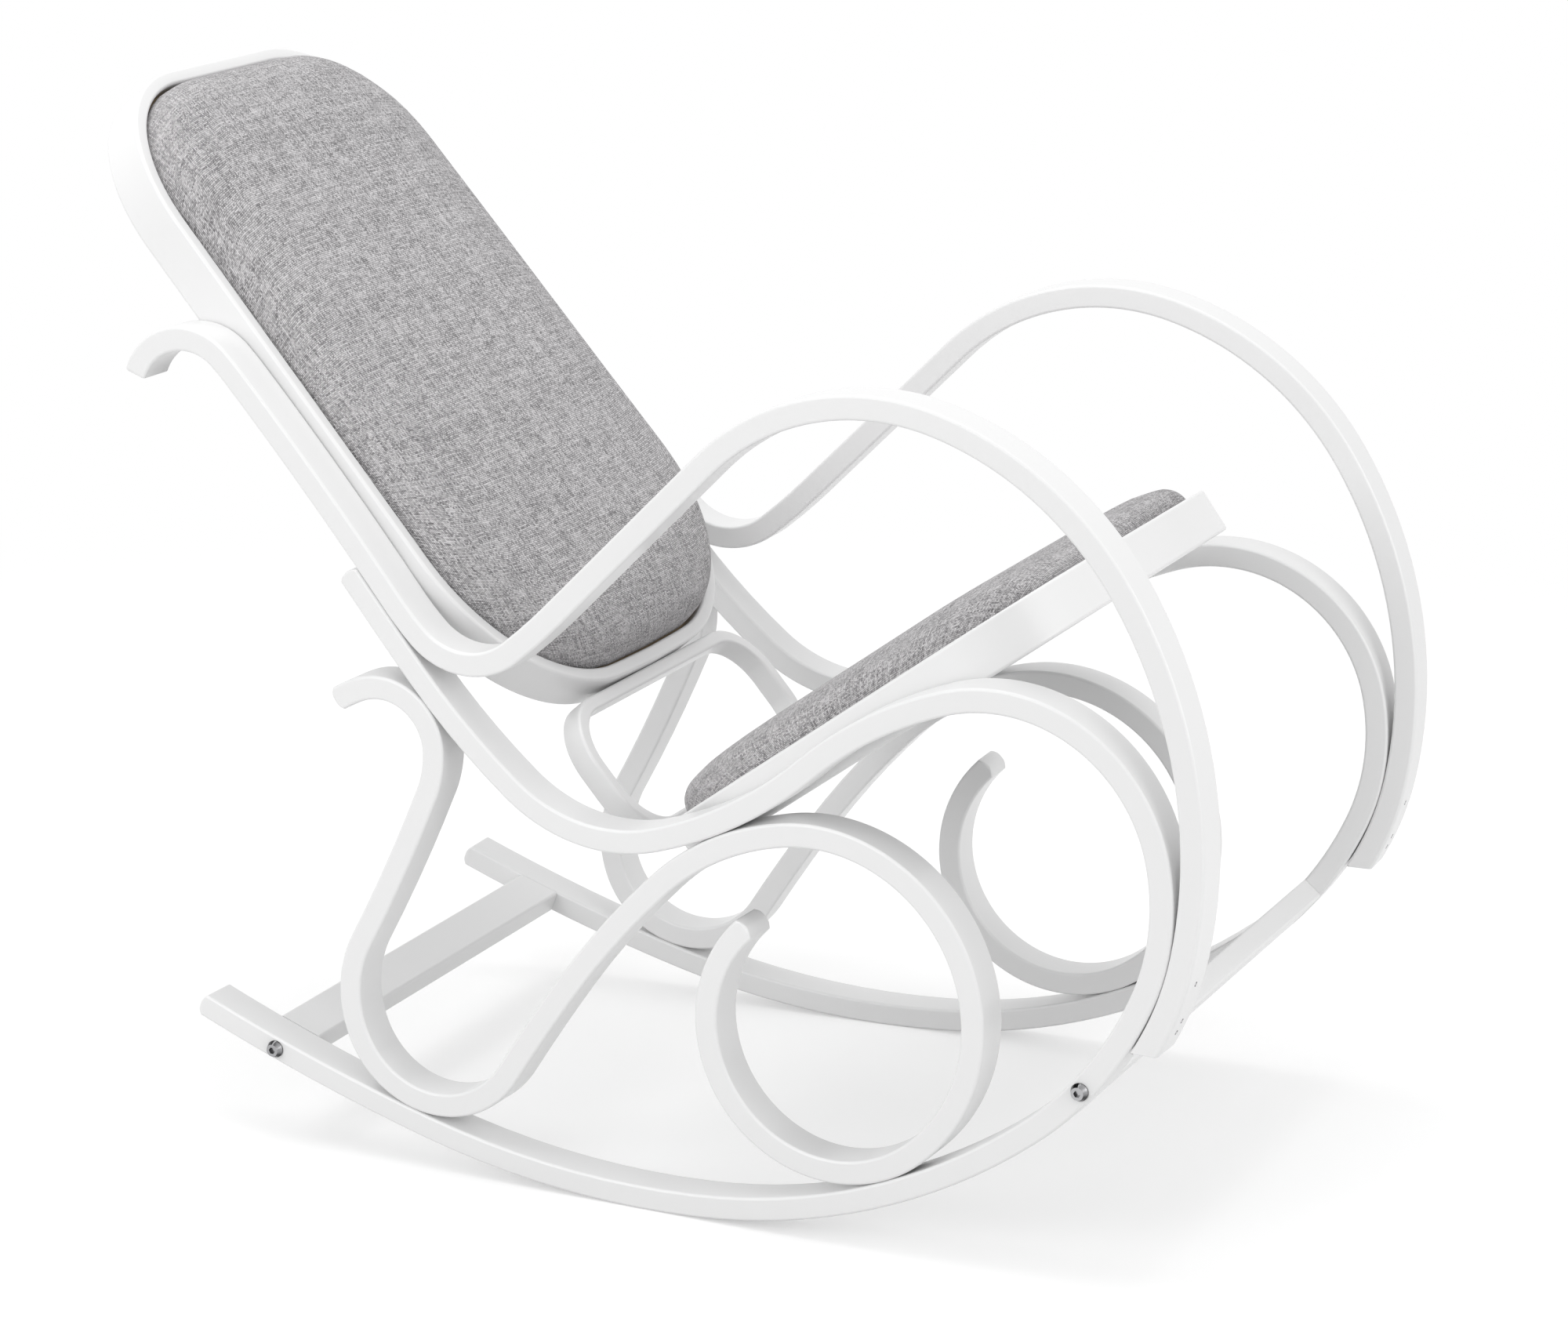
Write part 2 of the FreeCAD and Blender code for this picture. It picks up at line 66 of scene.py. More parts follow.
def vectorCalc(tree, operation, first, second):
    node = addNode(tree, "ShaderNodeVectorMath", operation=operation)
    feed(tree, node.inputs[0], first)
    feed(tree, node.inputs[1], second)
    return node.outputs[0]


def mixed(tree, factor, first, second, kind="RGBA", **settings):
    node = addNode(tree, "ShaderNodeMix", data_type=kind, **settings)
    a, b, out = (6, 7, 2) if kind == "RGBA" else (2, 3, 0)
    for i, value in ((0, factor), (a, first), (b, second)):
        feed(tree, node.inputs[i], value)
    return node.outputs[out]


def noiseAt(tree, vector, scale, detail):
    noise = addNode(tree, "ShaderNodeTexNoise", noise_dimensions="3D")
    feed(tree, noise.inputs["Vector"], vector)
    noise.inputs["Scale"].default_value = scale
    noise.inputs["Detail"].default_value = detail
    return noise.outputs[0]


def layOut(tree, columns=8):          # nodes in rows, so the tree can be read in the editor
    for i, node in enumerate(tree.nodes):
        node.location = (220 * (i % columns), -260 * (i // columns))


def addSockets(tree, inputs, outputs):
    for name, kind, value in inputs:
        socket = tree.interface.new_socket(name=name, in_out="INPUT", socket_type=kind)
        if value is not None:
            socket.default_value = value
    for name, kind in outputs:
        tree.interface.new_socket(name=name, in_out="OUTPUT", socket_type=kind)


# Object and mesh helpers
def addObject(name, data):
    piece = bpy.data.objects.new(name, data)
    bpy.context.scene.collection.objects.link(piece)
    return piece


def meshOf(shell, name):
    bmesh.ops.recalc_face_normals(shell, faces=shell.faces)
    mesh = bpy.data.meshes.new(name)
    shell.to_mesh(mesh)
    shell.free()
    return mesh


def bridge(shell, lower, upper):       # quads between two loops of the same count
    for i in range(len(lower)):
        j = (i + 1) % len(lower)
        shell.faces.new((lower[i], lower[j], upper[j], upper[i]))


# Shared shader effects
weaveShape = {
    "wander": 38.0, "sway": 0.0035,        # threads aren't quite straight
    "turnDown": 8.0,                       # how soon the thread count goes on down a pad's sides
    "patch": 0.11, "warpSeed": 3.0, "weftSeed": 11.0,
}
coatShape = {"mottle": 9.0, "peel": 420.0, "detail": 2.0, "toneRange": 0.02}


def makeWeaveGroup():
    # plain weave: thread relief, a melange shade that changes from thread to thread, and painted shade that
    # darkens the hollows between threads
    tree = bpy.data.node_groups.new("plainWeave", "ShaderNodeTree")
    addSockets(tree, [
        ("Vector", "NodeSocketVector", None),
        ("Thread Pitch", "NodeSocketFloat", 0.0018),
        ("Melange", "NodeSocketFloat", 0.5),
        ("Slub", "NodeSocketFloat", 0.3),
        ("Speckle", "NodeSocketFloat", 0.3),
        ("Depth", "NodeSocketFloat", 0.8),
    ], [("Shade", "NodeSocketFloat"), ("Relief", "NodeSocketFloat")])
    given = addNode(tree, "NodeGroupInput")
    put = addNode(tree, "NodeGroupOutput")
    split = addNode(tree, "ShaderNodeSeparateXYZ")
    feed(tree, split.inputs[0], given.outputs["Vector"])
    wander = noiseAt(tree, given.outputs["Vector"], weaveShape["wander"], 1.0)
    sway = calc(tree, "MULTIPLY", calc(tree, "SUBTRACT", wander, 0.5), weaveShape["sway"])

    def folded(along):
        side = calc(tree, "MULTIPLY", along, weaveShape["turnDown"])
        side = calc(tree, "MINIMUM", calc(tree, "MAXIMUM", side, -1.0), 1.0)
        return calc(tree, "SUBTRACT", along, calc(tree, "MULTIPLY", split.outputs[2], side))

    across = calc(tree, "ADD", folded(split.outputs[0]), sway)
    upward = calc(tree, "SUBTRACT", folded(split.outputs[1]), sway)
    u = calc(tree, "DIVIDE", across, given.outputs["Thread Pitch"])
    v = calc(tree, "DIVIDE", upward, given.outputs["Thread Pitch"])
    iu, iv = calc(tree, "FLOOR", u), calc(tree, "FLOOR", v)
    fu, fv = calc(tree, "FRACT", u), calc(tree, "FRACT", v)
    odd = calc(tree, "FLOORED_MODULO", calc(tree, "ADD", iu, iv), 2.0)
    humpU = calc(tree, "SINE", calc(tree, "MULTIPLY", fu, math.pi))
    humpV = calc(tree, "SINE", calc(tree, "MULTIPLY", fv, math.pi))
    warpOver = calc(tree, "MULTIPLY", humpU, calc(tree, "MULTIPLY_ADD", humpV, 0.5, 0.5))
    weftOver = calc(tree, "MULTIPLY", humpV, calc(tree, "MULTIPLY_ADD", humpU, 0.5, 0.5))
    relief = mixed(tree, odd, warpOver, weftOver, "FLOAT")

    def joined(*values):
        place = addNode(tree, "ShaderNodeCombineXYZ")
        for socket, value in zip(place.inputs, values):
            feed(tree, socket, value)
        return place.outputs[0]

    def scatter(vector, dimensions, amount):
        noise = addNode(tree, "ShaderNodeTexWhiteNoise", noise_dimensions=dimensions)
        feed(tree, noise.inputs["Vector"], vector)
        return calc(tree, "MULTIPLY", calc(tree, "SUBTRACT", noise.outputs[0], 0.5), given.outputs[amount])

    def threadShade(number, length, seed):       # each thread has its own shade, patchy along its length
        patch = calc(tree, "FLOOR", calc(tree, "MULTIPLY", length, weaveShape["patch"]))
        return calc(tree, "ADD", scatter(joined(number, seed), "2D", "Slub"),
                    scatter(joined(number, patch, seed), "3D", "Melange"))

    shade = mixed(tree, odd, threadShade(iu, v, weaveShape["warpSeed"]),
                  threadShade(iv, u, weaveShape["weftSeed"]), "FLOAT")
    specks = scatter(joined(iu, iv), "2D", "Speckle")
    # painted shade: the colour follows the relief, darker in the hollows between threads and lighter on their
    # tops, by Depth
    paintedHollowShade = calc(tree, "MULTIPLY_ADD", relief, given.outputs["Depth"], 0.5)
    paintedHollowShade = calc(tree, "SUBTRACT", paintedHollowShade, calc(tree, "MULTIPLY", given.outputs["Depth"], 0.5))
    feed(tree, put.inputs["Shade"], calc(tree, "ADD", calc(tree, "ADD", shade, specks), paintedHollowShade))
    feed(tree, put.inputs["Relief"], relief)
    layOut(tree)
    return tree


def makeCoatGroup():
    # sprayed lacquer: slow unevenness of the gloss and a faint orange peel
    tree = bpy.data.node_groups.new("sprayedCoat", "ShaderNodeTree")
    addSockets(tree, [
        ("Vector", "NodeSocketVector", None),
        ("Roughness", "NodeSocketFloat", 0.35),
        ("Unevenness", "NodeSocketFloat", 0.08),
    ], [("Roughness", "NodeSocketFloat"), ("Tone", "NodeSocketFloat"), ("Peel", "NodeSocketFloat")])
    given = addNode(tree, "NodeGroupInput")
    put = addNode(tree, "NodeGroupOutput")
    slow, fine = (noiseAt(tree, given.outputs["Vector"], coatShape[key], coatShape["detail"])
                  for key in ("mottle", "peel"))
    change = calc(tree, "MULTIPLY", calc(tree, "SUBTRACT", slow, 0.5), given.outputs["Unevenness"])
    feed(tree, put.inputs["Roughness"], calc(tree, "ADD", given.outputs["Roughness"], change))
    tone = calc(tree, "MULTIPLY_ADD", slow, coatShape["toneRange"], 1 - coatShape["toneRange"] / 2)
    feed(tree, put.inputs["Tone"], tone)
    feed(tree, put.inputs["Peel"], fine)
    layOut(tree)
    return tree


weaveGroup = makeWeaveGroup()
coatGroup = makeCoatGroup()


# Materials
def newMaterial(name):
    material = bpy.data.materials.new(name)
    material.use_nodes = True
    return material, material.node_tree, material.node_tree.nodes["Principled BSDF"]


def objectPlace(tree, plane=None):     # Object coordinates, moved into a piece's own plane
    place = addNode(tree, "ShaderNodeTexCoord")
    mapping = addNode(tree, "ShaderNodeMapping", vector_type="POINT")
    if plane:
        back = plane.inverted()
        mapping.inputs["Rotation"].default_value = back.to_euler()
        mapping.inputs["Location"].default_value = back.to_translation()
    feed(tree, mapping.inputs["Vector"], place.outputs["Object"])
    return mapping.outputs[0]


def dress(tree, shader, colour, roughness, **sockets):
    feed(tree, shader.inputs["Base Color"], colour)
    feed(tree, shader.inputs["Roughness"], roughness)
    for name, value in sockets.items():
        shader.inputs[name.replace("_", " ")].default_value = value


def addBump(tree, shader, height, strength, distance):
    bump = addNode(tree, "ShaderNodeBump")
    bump.inputs["Strength"].default_value = strength
    bump.inputs["Distance"].default_value = distance
    feed(tree, bump.inputs["Height"], height)
    feed(tree, shader.inputs["Normal"], bump.outputs[0])


def placeGroup(tree, group, **values):
    node = addNode(tree, "ShaderNodeGroup")
    node.node_tree = group
    for name, value in values.items():
        feed(tree, node.inputs[name.replace("_", " ")], value)
    return node


lacquerLook = {
    "colour": (0.82, 0.82, 0.82, 1), "roughness": 0.34, "unevenness": 0.08,
    "coat": 0.25, "coatRoughness": 0.12, "peel": 0.12, "peelDepth": 0.0001,
}
# cloth: "depth" is how strongly painted shade darkens the hollows between threads
clothLook = {
    "dark": (0.105, 0.101, 0.105, 1), "light": (0.71, 0.695, 0.705, 1), "pitch": 0.0016,
    "melange": 0.46, "slub": 0.24, "speckle": 0.5, "depth": 0.75, "roughness": 0.92, "specular": 0.2,
    "sheen": 0.15, "sheenRoughness": 0.6, "relief": 0.6, "reliefDepth": 0.0006,
}
# zinc: "face" is its own tone; "side" is a painted reflection, the near black painted on faces turned from
# the view
zincLook = {
    "face": (0.42, 0.42, 0.43, 1), "side": (0.035, 0.035, 0.037, 1), "paintedDarkFrom": 0.12, "paintedDarkFull": 0.5,
    "roughness": 0.24, "unevenness": 0.2, "peel": 0.1, "peelDepth": 0.00005,
}
boardLook = {
    "dark": (0.47, 0.33, 0.19, 1), "light": (0.66, 0.51, 0.33, 1), "stretch": (60.0, 4.0, 60.0), "grain": 3.0,
    "roughness": 0.6, "relief": 0.2, "reliefDepth": 0.0003,
}
liningLook = {
    "dark": (0.018, 0.018, 0.019, 1), "light": (0.06, 0.06, 0.063, 1), "fibres": 700.0, "dimples": 420.0,
    "roughness": 0.85, "relief": 0.35, "reliefDepth": 0.0004,
}


def makeLacquer():
    material, tree, shader = newMaterial("whiteLacquer")
    coat = placeGroup(tree, coatGroup, Vector=objectPlace(tree), Roughness=lacquerLook["roughness"],
                      Unevenness=lacquerLook["unevenness"])
    colour = mixed(tree, 1.0, lacquerLook["colour"], coat.outputs["Tone"], blend_type="MULTIPLY")
    dress(tree, shader, colour, coat.outputs["Roughness"],
          Coat_Weight=lacquerLook["coat"], Coat_Roughness=lacquerLook["coatRoughness"])
    addBump(tree, shader, coat.outputs["Peel"], lacquerLook["peel"], lacquerLook["peelDepth"])
    layOut(tree)
    return material


def makeCloth(name, plane):
    material, tree, shader = newMaterial(name)
    weave = placeGroup(tree, weaveGroup, Vector=objectPlace(tree, plane), Thread_Pitch=clothLook["pitch"],
                       Melange=clothLook["melange"], Slub=clothLook["slub"], Speckle=clothLook["speckle"],
                       Depth=clothLook["depth"])
    colour = mixed(tree, weave.outputs["Shade"], clothLook["dark"], clothLook["light"])
    dress(tree, shader, colour, clothLook["roughness"], Specular_IOR_Level=clothLook["specular"],
          Sheen_Weight=clothLook["sheen"], Sheen_Roughness=clothLook["sheenRoughness"])
    addBump(tree, shader, weave.outputs["Relief"], clothLook["relief"], clothLook["reliefDepth"])
    layOut(tree)
    return material


def makeZinc():
    material, tree, shader = newMaterial("brightZinc")
    coat = placeGroup(tree, coatGroup, Vector=objectPlace(tree), Roughness=zincLook["roughness"],
                      Unevenness=zincLook["unevenness"])
    paintedReflectionFacing = addNode(tree, "ShaderNodeLayerWeight")          # painted reflection: turned faces are painted dark, standing in for the dark side of the studio they mirror
    paintedReflectionFacing.inputs["Blend"].default_value = 0.5
    # painted reflection mask: from facing the view to turned away from it
    side = addNode(tree, "ShaderNodeMapRange", interpolation_type="SMOOTHSTEP")
    feed(tree, side.inputs["Value"], paintedReflectionFacing.outputs["Facing"])
    side.inputs["From Min"].default_value = zincLook["paintedDarkFrom"]
    side.inputs["From Max"].default_value = zincLook["paintedDarkFull"]
    colour = mixed(tree, side.outputs[0], zincLook["face"], zincLook["side"])
    dress(tree, shader, colour, coat.outputs["Roughness"], Metallic=1.0)
    addBump(tree, shader, coat.outputs["Peel"], zincLook["peel"], zincLook["peelDepth"])
    layOut(tree)
    return material


def makePlywood():
    material, tree, shader = newMaterial("birchBoard")
    stretch = addNode(tree, "ShaderNodeMapping")
    stretch.inputs["Scale"].default_value = boardLook["stretch"]
    feed(tree, stretch.inputs["Vector"], objectPlace(tree))
    grain = noiseAt(tree, stretch.outputs[0], boardLook["grain"], 6.0)
    dress(tree, shader, mixed(tree, grain, boardLook["dark"], boardLook["light"]), boardLook["roughness"])
    addBump(tree, shader, grain, boardLook["relief"], boardLook["reliefDepth"])
    layOut(tree)
    return material


def makeLining():
    material, tree, shader = newMaterial("nonWovenLining")
    place = objectPlace(tree)
    fibres = noiseAt(tree, place, liningLook["fibres"], 5.0)
    dimples = addNode(tree, "ShaderNodeTexVoronoi")
    dimples.inputs["Scale"].default_value = liningLook["dimples"]
    feed(tree, dimples.inputs["Vector"], place)
    dress(tree, shader, mixed(tree, fibres, liningLook["dark"], liningLook["light"]), liningLook["roughness"])
    addBump(tree, shader, dimples.outputs["Distance"], liningLook["relief"], liningLook["reliefDepth"])
    layOut(tree)
    return material


# Side frames: three strips each, bent into arcs in one plane.
# Bends are (radius, turn in degrees), a left turn positive; radius 0 is a
# straight with its length.
sideFrame = {
    "thickness": 0.019, "width": 0.034, "edgeRadius": 0.0024, "endSag": 0.004,
    "splay": 1.94,             # degrees that each side toes out
    "half": 0.25439,           # outer face from the middle plane, level with the profile's zero
    "middle": -0.09201,        # profile's point over the origin
    "floor": -0.34927,
}
armBow = {
    "start": (-0.49811, 0.2665), "heading": 70.6, "sag": 0.0,
    "bends": [(0.048, -114.2), (0.263, -4.1), (3.06, -4.0), (0.246, 7.5), (0.061, 83.1), (0.486, 6.0),
              (0.0, 0.18086), (0.192, -60.7), (0.258, -41.8), (0.366, -43.2), (0.239, -20.6)],
}
runner = {
    "start": (-0.3068, 0.1262), "heading": -51.8, "sag": sideFrame["endSag"],
    "bends": [(2.69, 2.0), (0.603, 10.8), (0.134, 56.0), (0.337, 24.9), (0.316, -23.4), (0.132, -96.1),
              (0.178, -35.6), (0.29, -28.7), (0.498, -34.6), (0.741, -18.6), (1.749, -7.1)],
}
scroll = {
    "start": (-0.31909, 0.02706), "heading": 32.284, "sag": sideFrame["endSag"],
    "bends": [(0.107, -11.8), (0.0477, -111.3), (0.086, -22.3), (1.45, -5.6), (0.092, 48.1), (0.0762, 128.1),
              (1.77, -3.1), (0.71, -9.9), (0.204, -33.3), (0.13344, -154.1), (0.105, -172.9)],
}


def alongPiece(piece, s):
    x, z, h, length, curve = piece
    if curve == 0:
        return x + s * math.cos(h), z + s * math.sin(h), h
    end = h + curve * s
    return x + (math.sin(end) - math.sin(h)) / curve, z - (math.cos(end) - math.cos(h)) / curve, end


def walk(strip):
    x, z = strip["start"]
    h = math.radians(strip["heading"])
    pieces = []
    for radius, amount in strip["bends"]:
        length = amount if radius == 0 else radius * math.radians(abs(amount))
        curve = 0.0 if radius == 0 else math.copysign(1 / radius, amount)
        pieces.append((x, z, h, length, curve))
        x, z, h = alongPiece(pieces[-1], length)
    return pieces


def pointAt(pieces, s):
    for piece in pieces[:-1]:
        if s <= piece[3]:
            return alongPiece(piece, s)
        s -= piece[3]
    return alongPiece(pieces[-1], s)


def fromLast(strip, distance):         # point and heading at a distance before the strip's end
    pieces = walk(strip)
    return pointAt(pieces, sum(piece[3] for piece in pieces) - distance)


def stationsOf(strip):
    # distances along the strip: even in angle on the bends, close together at the ends
    pieces = walk(strip)
    total = sum(piece[3] for piece in pieces)
    stops, reached = [], 0.0
    for piece in pieces:
        count = max(2, math.ceil(abs(piece[4]) * piece[3] / math.radians(2.2)), math.ceil(piece[3] / 0.03))
        stops += [reached + piece[3] * i / count for i in range(count)]
        reached += piece[3]
    sag, edge = strip["sag"], sideFrame["edgeRadius"]
    if sag:
        bulge = (sideFrame["thickness"] ** 2 / 4 + sag ** 2) / (2 * sag)
        widest = math.asin(sideFrame["thickness"] / 2 / bulge)
        close = [bulge * (1 - math.cos(widest * i / 8)) for i in range(9)] + [sag + 0.001]
    else:
        close = [edge * (1 - math.cos(math.radians(15 * i))) for i in range(7)] + [edge + 0.001]
    stops = [s for s in stops if 0.006 < s < total - 0.006]
    stops = [d - sag for d in close] + stops + [total + sag - d for d in reversed(close)]
    return [pointAt(pieces, s)[:2] for s in stops]


def pathObject(name, points, closed=False):
    mesh = bpy.data.meshes.new(name)
    edges = [(i, i + 1) for i in range(len(points) - 1)] + ([(len(points) - 1, 0)] if closed else [])
    mesh.from_pydata([(x, y, 0.0) for x, y in points], edges, [])
    return addObject(name, mesh)


def makeBandTree():
    # A rectangular section with rounded edges swept along a flat path. Open
    # ends are eased over the edge radius, or rounded off when End Sag is set.
    tree = bpy.data.node_groups.new("bentBand", "GeometryNodeTree")
    addSockets(tree, [
        ("Path", "NodeSocketGeometry", None),
        ("Thickness", "NodeSocketFloat", 0.019),
        ("Width", "NodeSocketFloat", 0.034),
        ("Edge Radius", "NodeSocketFloat", 0.0024),
        ("Edge Points", "NodeSocketInt", 5),
        ("End Sag", "NodeSocketFloat", 0.0),
        ("Finish", "NodeSocketMaterial", None),
    ], [("Band", "NodeSocketGeometry")])
    given = addNode(tree, "NodeGroupInput")
    put = addNode(tree, "NodeGroupOutput")
    thick, wide, edge, sag = (given.outputs[n] for n in ("Thickness", "Width", "Edge Radius", "End Sag"))

    line = addNode(tree, "GeometryNodeMeshToCurve")
    feed(tree, line.inputs[0], given.outputs["Path"])
    upright = addNode(tree, "GeometryNodeSetCurveNormal", mode="Z_UP")
    feed(tree, upright.inputs[0], line.outputs[0])
    along = addNode(tree, "GeometryNodeSplineParameter").outputs["Length"]
    whole = addNode(tree, "GeometryNodeSplineLength").outputs["Length"]
    cyclic = addNode(tree, "GeometryNodeInputSplineCyclic").outputs[0]
    fromEnd = calc(tree, "MINIMUM", along, calc(tree, "SUBTRACT", whole, along))
    fromEnd = calc(tree, "ADD", fromEnd, cyclic)             # a closed band has no ends
    keep = addNode(tree, "GeometryNodeCaptureAttribute", domain="POINT")
    keep.capture_items.new("FLOAT", "From End")
    keep.capture_items.new("VECTOR", "Centre")
    feed(tree, keep.inputs["Geometry"], upright.outputs[0])
    feed(tree, keep.inputs["From End"], fromEnd)
    feed(tree, keep.inputs["Centre"], addNode(tree, "GeometryNodeInputPosition").outputs[0])

    section = addNode(tree, "GeometryNodeCurvePrimitiveQuadrilateral")
    feed(tree, section.inputs["Width"], thick)
    feed(tree, section.inputs["Height"], wide)
    rounded = addNode(tree, "GeometryNodeFilletCurve", mode="POLY")
    feed(tree, rounded.inputs["Curve"], section.outputs[0])
    feed(tree, rounded.inputs["Count"], given.outputs["Edge Points"])
    feed(tree, rounded.inputs["Radius"], edge)
    hasSag = addNode(tree, "FunctionNodeCompare", data_type="FLOAT", operation="GREATER_THAN")
    feed(tree, hasSag.inputs[0], sag)
    feed(tree, hasSag.inputs[1], 0.00001)
    flatEnd = addNode(tree, "FunctionNodeBooleanMath", operation="NOT")
    feed(tree, flatEnd.inputs[0], hasSag.outputs[0])
    sweep = addNode(tree, "GeometryNodeCurveToMesh")
    feed(tree, sweep.inputs["Curve"], keep.outputs["Geometry"])
    feed(tree, sweep.inputs["Profile Curve"], rounded.outputs[0])
    feed(tree, sweep.inputs["Fill Caps"], flatEnd.outputs[0])

    def quarter(radius, reach, distance):        # sqrt(radius^2 - (radius - distance)^2), up to reach
        d = calc(tree, "MINIMUM", distance, reach)
        rest = calc(tree, "SUBTRACT", radius, d)
        square = calc(tree, "SUBTRACT", calc(tree, "MULTIPLY", radius, radius),
                      calc(tree, "MULTIPLY", rest, rest))
        return calc(tree, "SQRT", calc(tree, "MAXIMUM", square, 0.0))

    distance = keep.outputs["From End"]
    halfThick, halfWide = calc(tree, "MULTIPLY", thick, 0.5), calc(tree, "MULTIPLY", wide, 0.5)
    eased = calc(tree, "SUBTRACT", edge, quarter(edge, edge, distance))
    bulge = calc(tree, "DIVIDE", calc(tree, "ADD", calc(tree, "MULTIPLY", halfThick, halfThick),
                                      calc(tree, "MULTIPLY", sag, sag)), calc(tree, "MULTIPLY", sag, 2.0))
    thickNow = addNode(tree, "GeometryNodeSwitch", input_type="FLOAT")
    feed(tree, thickNow.inputs[0], hasSag.outputs[0])
    feed(tree, thickNow.inputs[1], calc(tree, "SUBTRACT", halfThick, eased))
    feed(tree, thickNow.inputs[2], quarter(bulge, sag, distance))
    slim = calc(tree, "MINIMUM", calc(tree, "DIVIDE", thickNow.outputs[0], halfThick), 1.0)
    narrow = calc(tree, "DIVIDE", calc(tree, "SUBTRACT", halfWide, eased), halfWide)
    scale = addNode(tree, "ShaderNodeCombineXYZ")
    for i, value in enumerate((slim, slim, narrow)):
        feed(tree, scale.inputs[i], value)
    centre = keep.outputs["Centre"]
    offset = vectorCalc(tree, "SUBTRACT", addNode(tree, "GeometryNodeInputPosition").outputs[0], centre)
    shaped = addNode(tree, "GeometryNodeSetPosition")
    feed(tree, shaped.inputs["Geometry"], sweep.outputs[0])
    feed(tree, shaped.inputs["Position"],
         vectorCalc(tree, "ADD", centre, vectorCalc(tree, "MULTIPLY", offset, scale.outputs[0])))
    welded = addNode(tree, "GeometryNodeMergeByDistance")
    feed(tree, welded.inputs["Geometry"], shaped.outputs[0])
    welded.inputs["Distance"].default_value = 0.00001
    smooth = addNode(tree, "GeometryNodeSetShadeSmooth")
    feed(tree, smooth.inputs[0], welded.outputs[0])
    real = addNode(tree, "GeometryNodeRealizeInstances")
    feed(tree, real.inputs[0], smooth.outputs[0])
    finish = addNode(tree, "GeometryNodeSetMaterial")
    feed(tree, finish.inputs["Geometry"], real.outputs[0])
    feed(tree, finish.inputs["Material"], given.outputs["Finish"])
    feed(tree, put.inputs[0], finish.outputs[0])
    layOut(tree)
    return tree


bandTree = makeBandTree()


def runTree(source, tree, **values):
    modifier = source.modifiers.new(tree.name, "NODES")
    modifier.node_group = tree
    ids = {item.name: item.identifier for item in tree.interface.items_tree if item.in_out == "INPUT"}
    for name, value in values.items():
        modifier[ids[name.replace("_", " ")]] = value


def plainMesh(source, name, matrix=None):
    # the evaluated object as a mesh of its own, with nothing live left on it
    graph = bpy.context.evaluated_depsgraph_get()
    mesh = bpy.data.meshes.new_from_object(source.evaluated_get(graph), depsgraph=graph)
    mesh.name = name
    bpy.data.objects.remove(source)
    if matrix:
        mesh.transform(matrix)
    return addObject(name, mesh)


def evenShade(piece, matrix=None):
    name = piece.name.removesuffix("Path")
    even = piece.modifiers.new("evenShading", "WEIGHTED_NORMAL")
    even.weight = 80
    even.keep_sharp = True
    piece.name = name + "Raw"
    return plainMesh(piece, name, matrix)


def bentBand(name, points, closed, matrix, finish, thickness, width, edge, sag=0.0):
    path = pathObject(name + "Path", points, closed)
    runTree(path, bandTree, Thickness=thickness, Width=width, Edge_Radius=edge, End_Sag=sag, Finish=finish)
    return evenShade(path, matrix)


def planeMatrix(across, upward, face, origin):
    matrix = Matrix.Identity(4)
    for i, column in enumerate((across, upward, face, origin)):
        for row in range(3):
            matrix[row][i] = column[row]
    return matrix


def toRow(x, z):                       # profile point to the row's frame
    return x - sideFrame["middle"], z - sideFrame["floor"]


def sideMatrix(sign):                  # -1 is the sitter's right, +1 the left
    turn = math.radians(sideFrame["splay"])
    forward = Vector((math.cos(turn), sign * math.sin(turn), 0))
    inward = Vector((math.sin(turn), -sign * math.cos(turn), 0))
    up = Vector((0, 0, 1))
    origin = inward * (sideFrame["width"] / 2) + Vector((0, sign * sideFrame["half"], 0))
    origin -= Vector((sideFrame["middle"], 0, sideFrame["floor"]))
    return planeMatrix(forward, up, forward.cross(up), origin)


lacquer = makeLacquer()


def settle(piece, nodeNames):
    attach(piece, "root")
    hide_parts(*nodeNames)


def sawnLevel(piece, level):
    # the end below this height is cut off flat, and the cut's edge eased
    shell = bmesh.new()
    shell.from_mesh(piece.data)
    cut = bmesh.ops.bisect_plane(shell, geom=shell.verts[:] + shell.edges[:] + shell.faces[:],
                                 plane_co=(0, 0, level), plane_no=(0, 0, -1), clear_outer=True)
    rim = [e for e in cut["geom_cut"] if isinstance(e, bmesh.types.BMEdge)]
    bmesh.ops.edgeloop_fill(shell, edges=rim)
    bmesh.ops.bevel(shell, geom=rim, offset=0.0007, segments=2, affect="EDGES", profile=0.5)
    bmesh.ops.recalc_face_normals(shell, faces=shell.faces)
    shell.to_mesh(piece.data)
    shell.free()
    for face in piece.data.polygons:
        face.material_index = 0
        face.use_smooth = True
    return evenShade(piece)


def lowerEnd(strip):                   # height of the strip's inner corner at its lower end
    x, z, h = fromLast(strip, 0.0)
    return toRow(x, z)[1] + sideFrame["thickness"] / 2 * abs(math.cos(h))


for sideName, sign in (("right", -1), ("left", 1)):
    for stripName, strip in (("arm_bow", armBow), ("runner", runner), ("scroll", scroll)):
        piece = bentBand(stripName + "_" + sideName + "_strip", stationsOf(strip), False, sideMatrix(sign),
                         lacquer, sideFrame["thickness"], sideFrame["width"], sideFrame["edgeRadius"],
                         strip["sag"])
        if stripName == "arm_bow":
            piece = sawnLevel(piece, lowerEnd(strip))
        settle(piece, [stripName + "_" + sideName])
print("side frames bent")


# Stretchers: bars between the runners, turned with the runner where they sit
stretcher = {"width": 0.038, "thickness": 0.019, "edgeRadius": 0.0024, "touch": 0.0002,
             "rearFromEnd": 0.072, "frontFromEnd": 0.816}


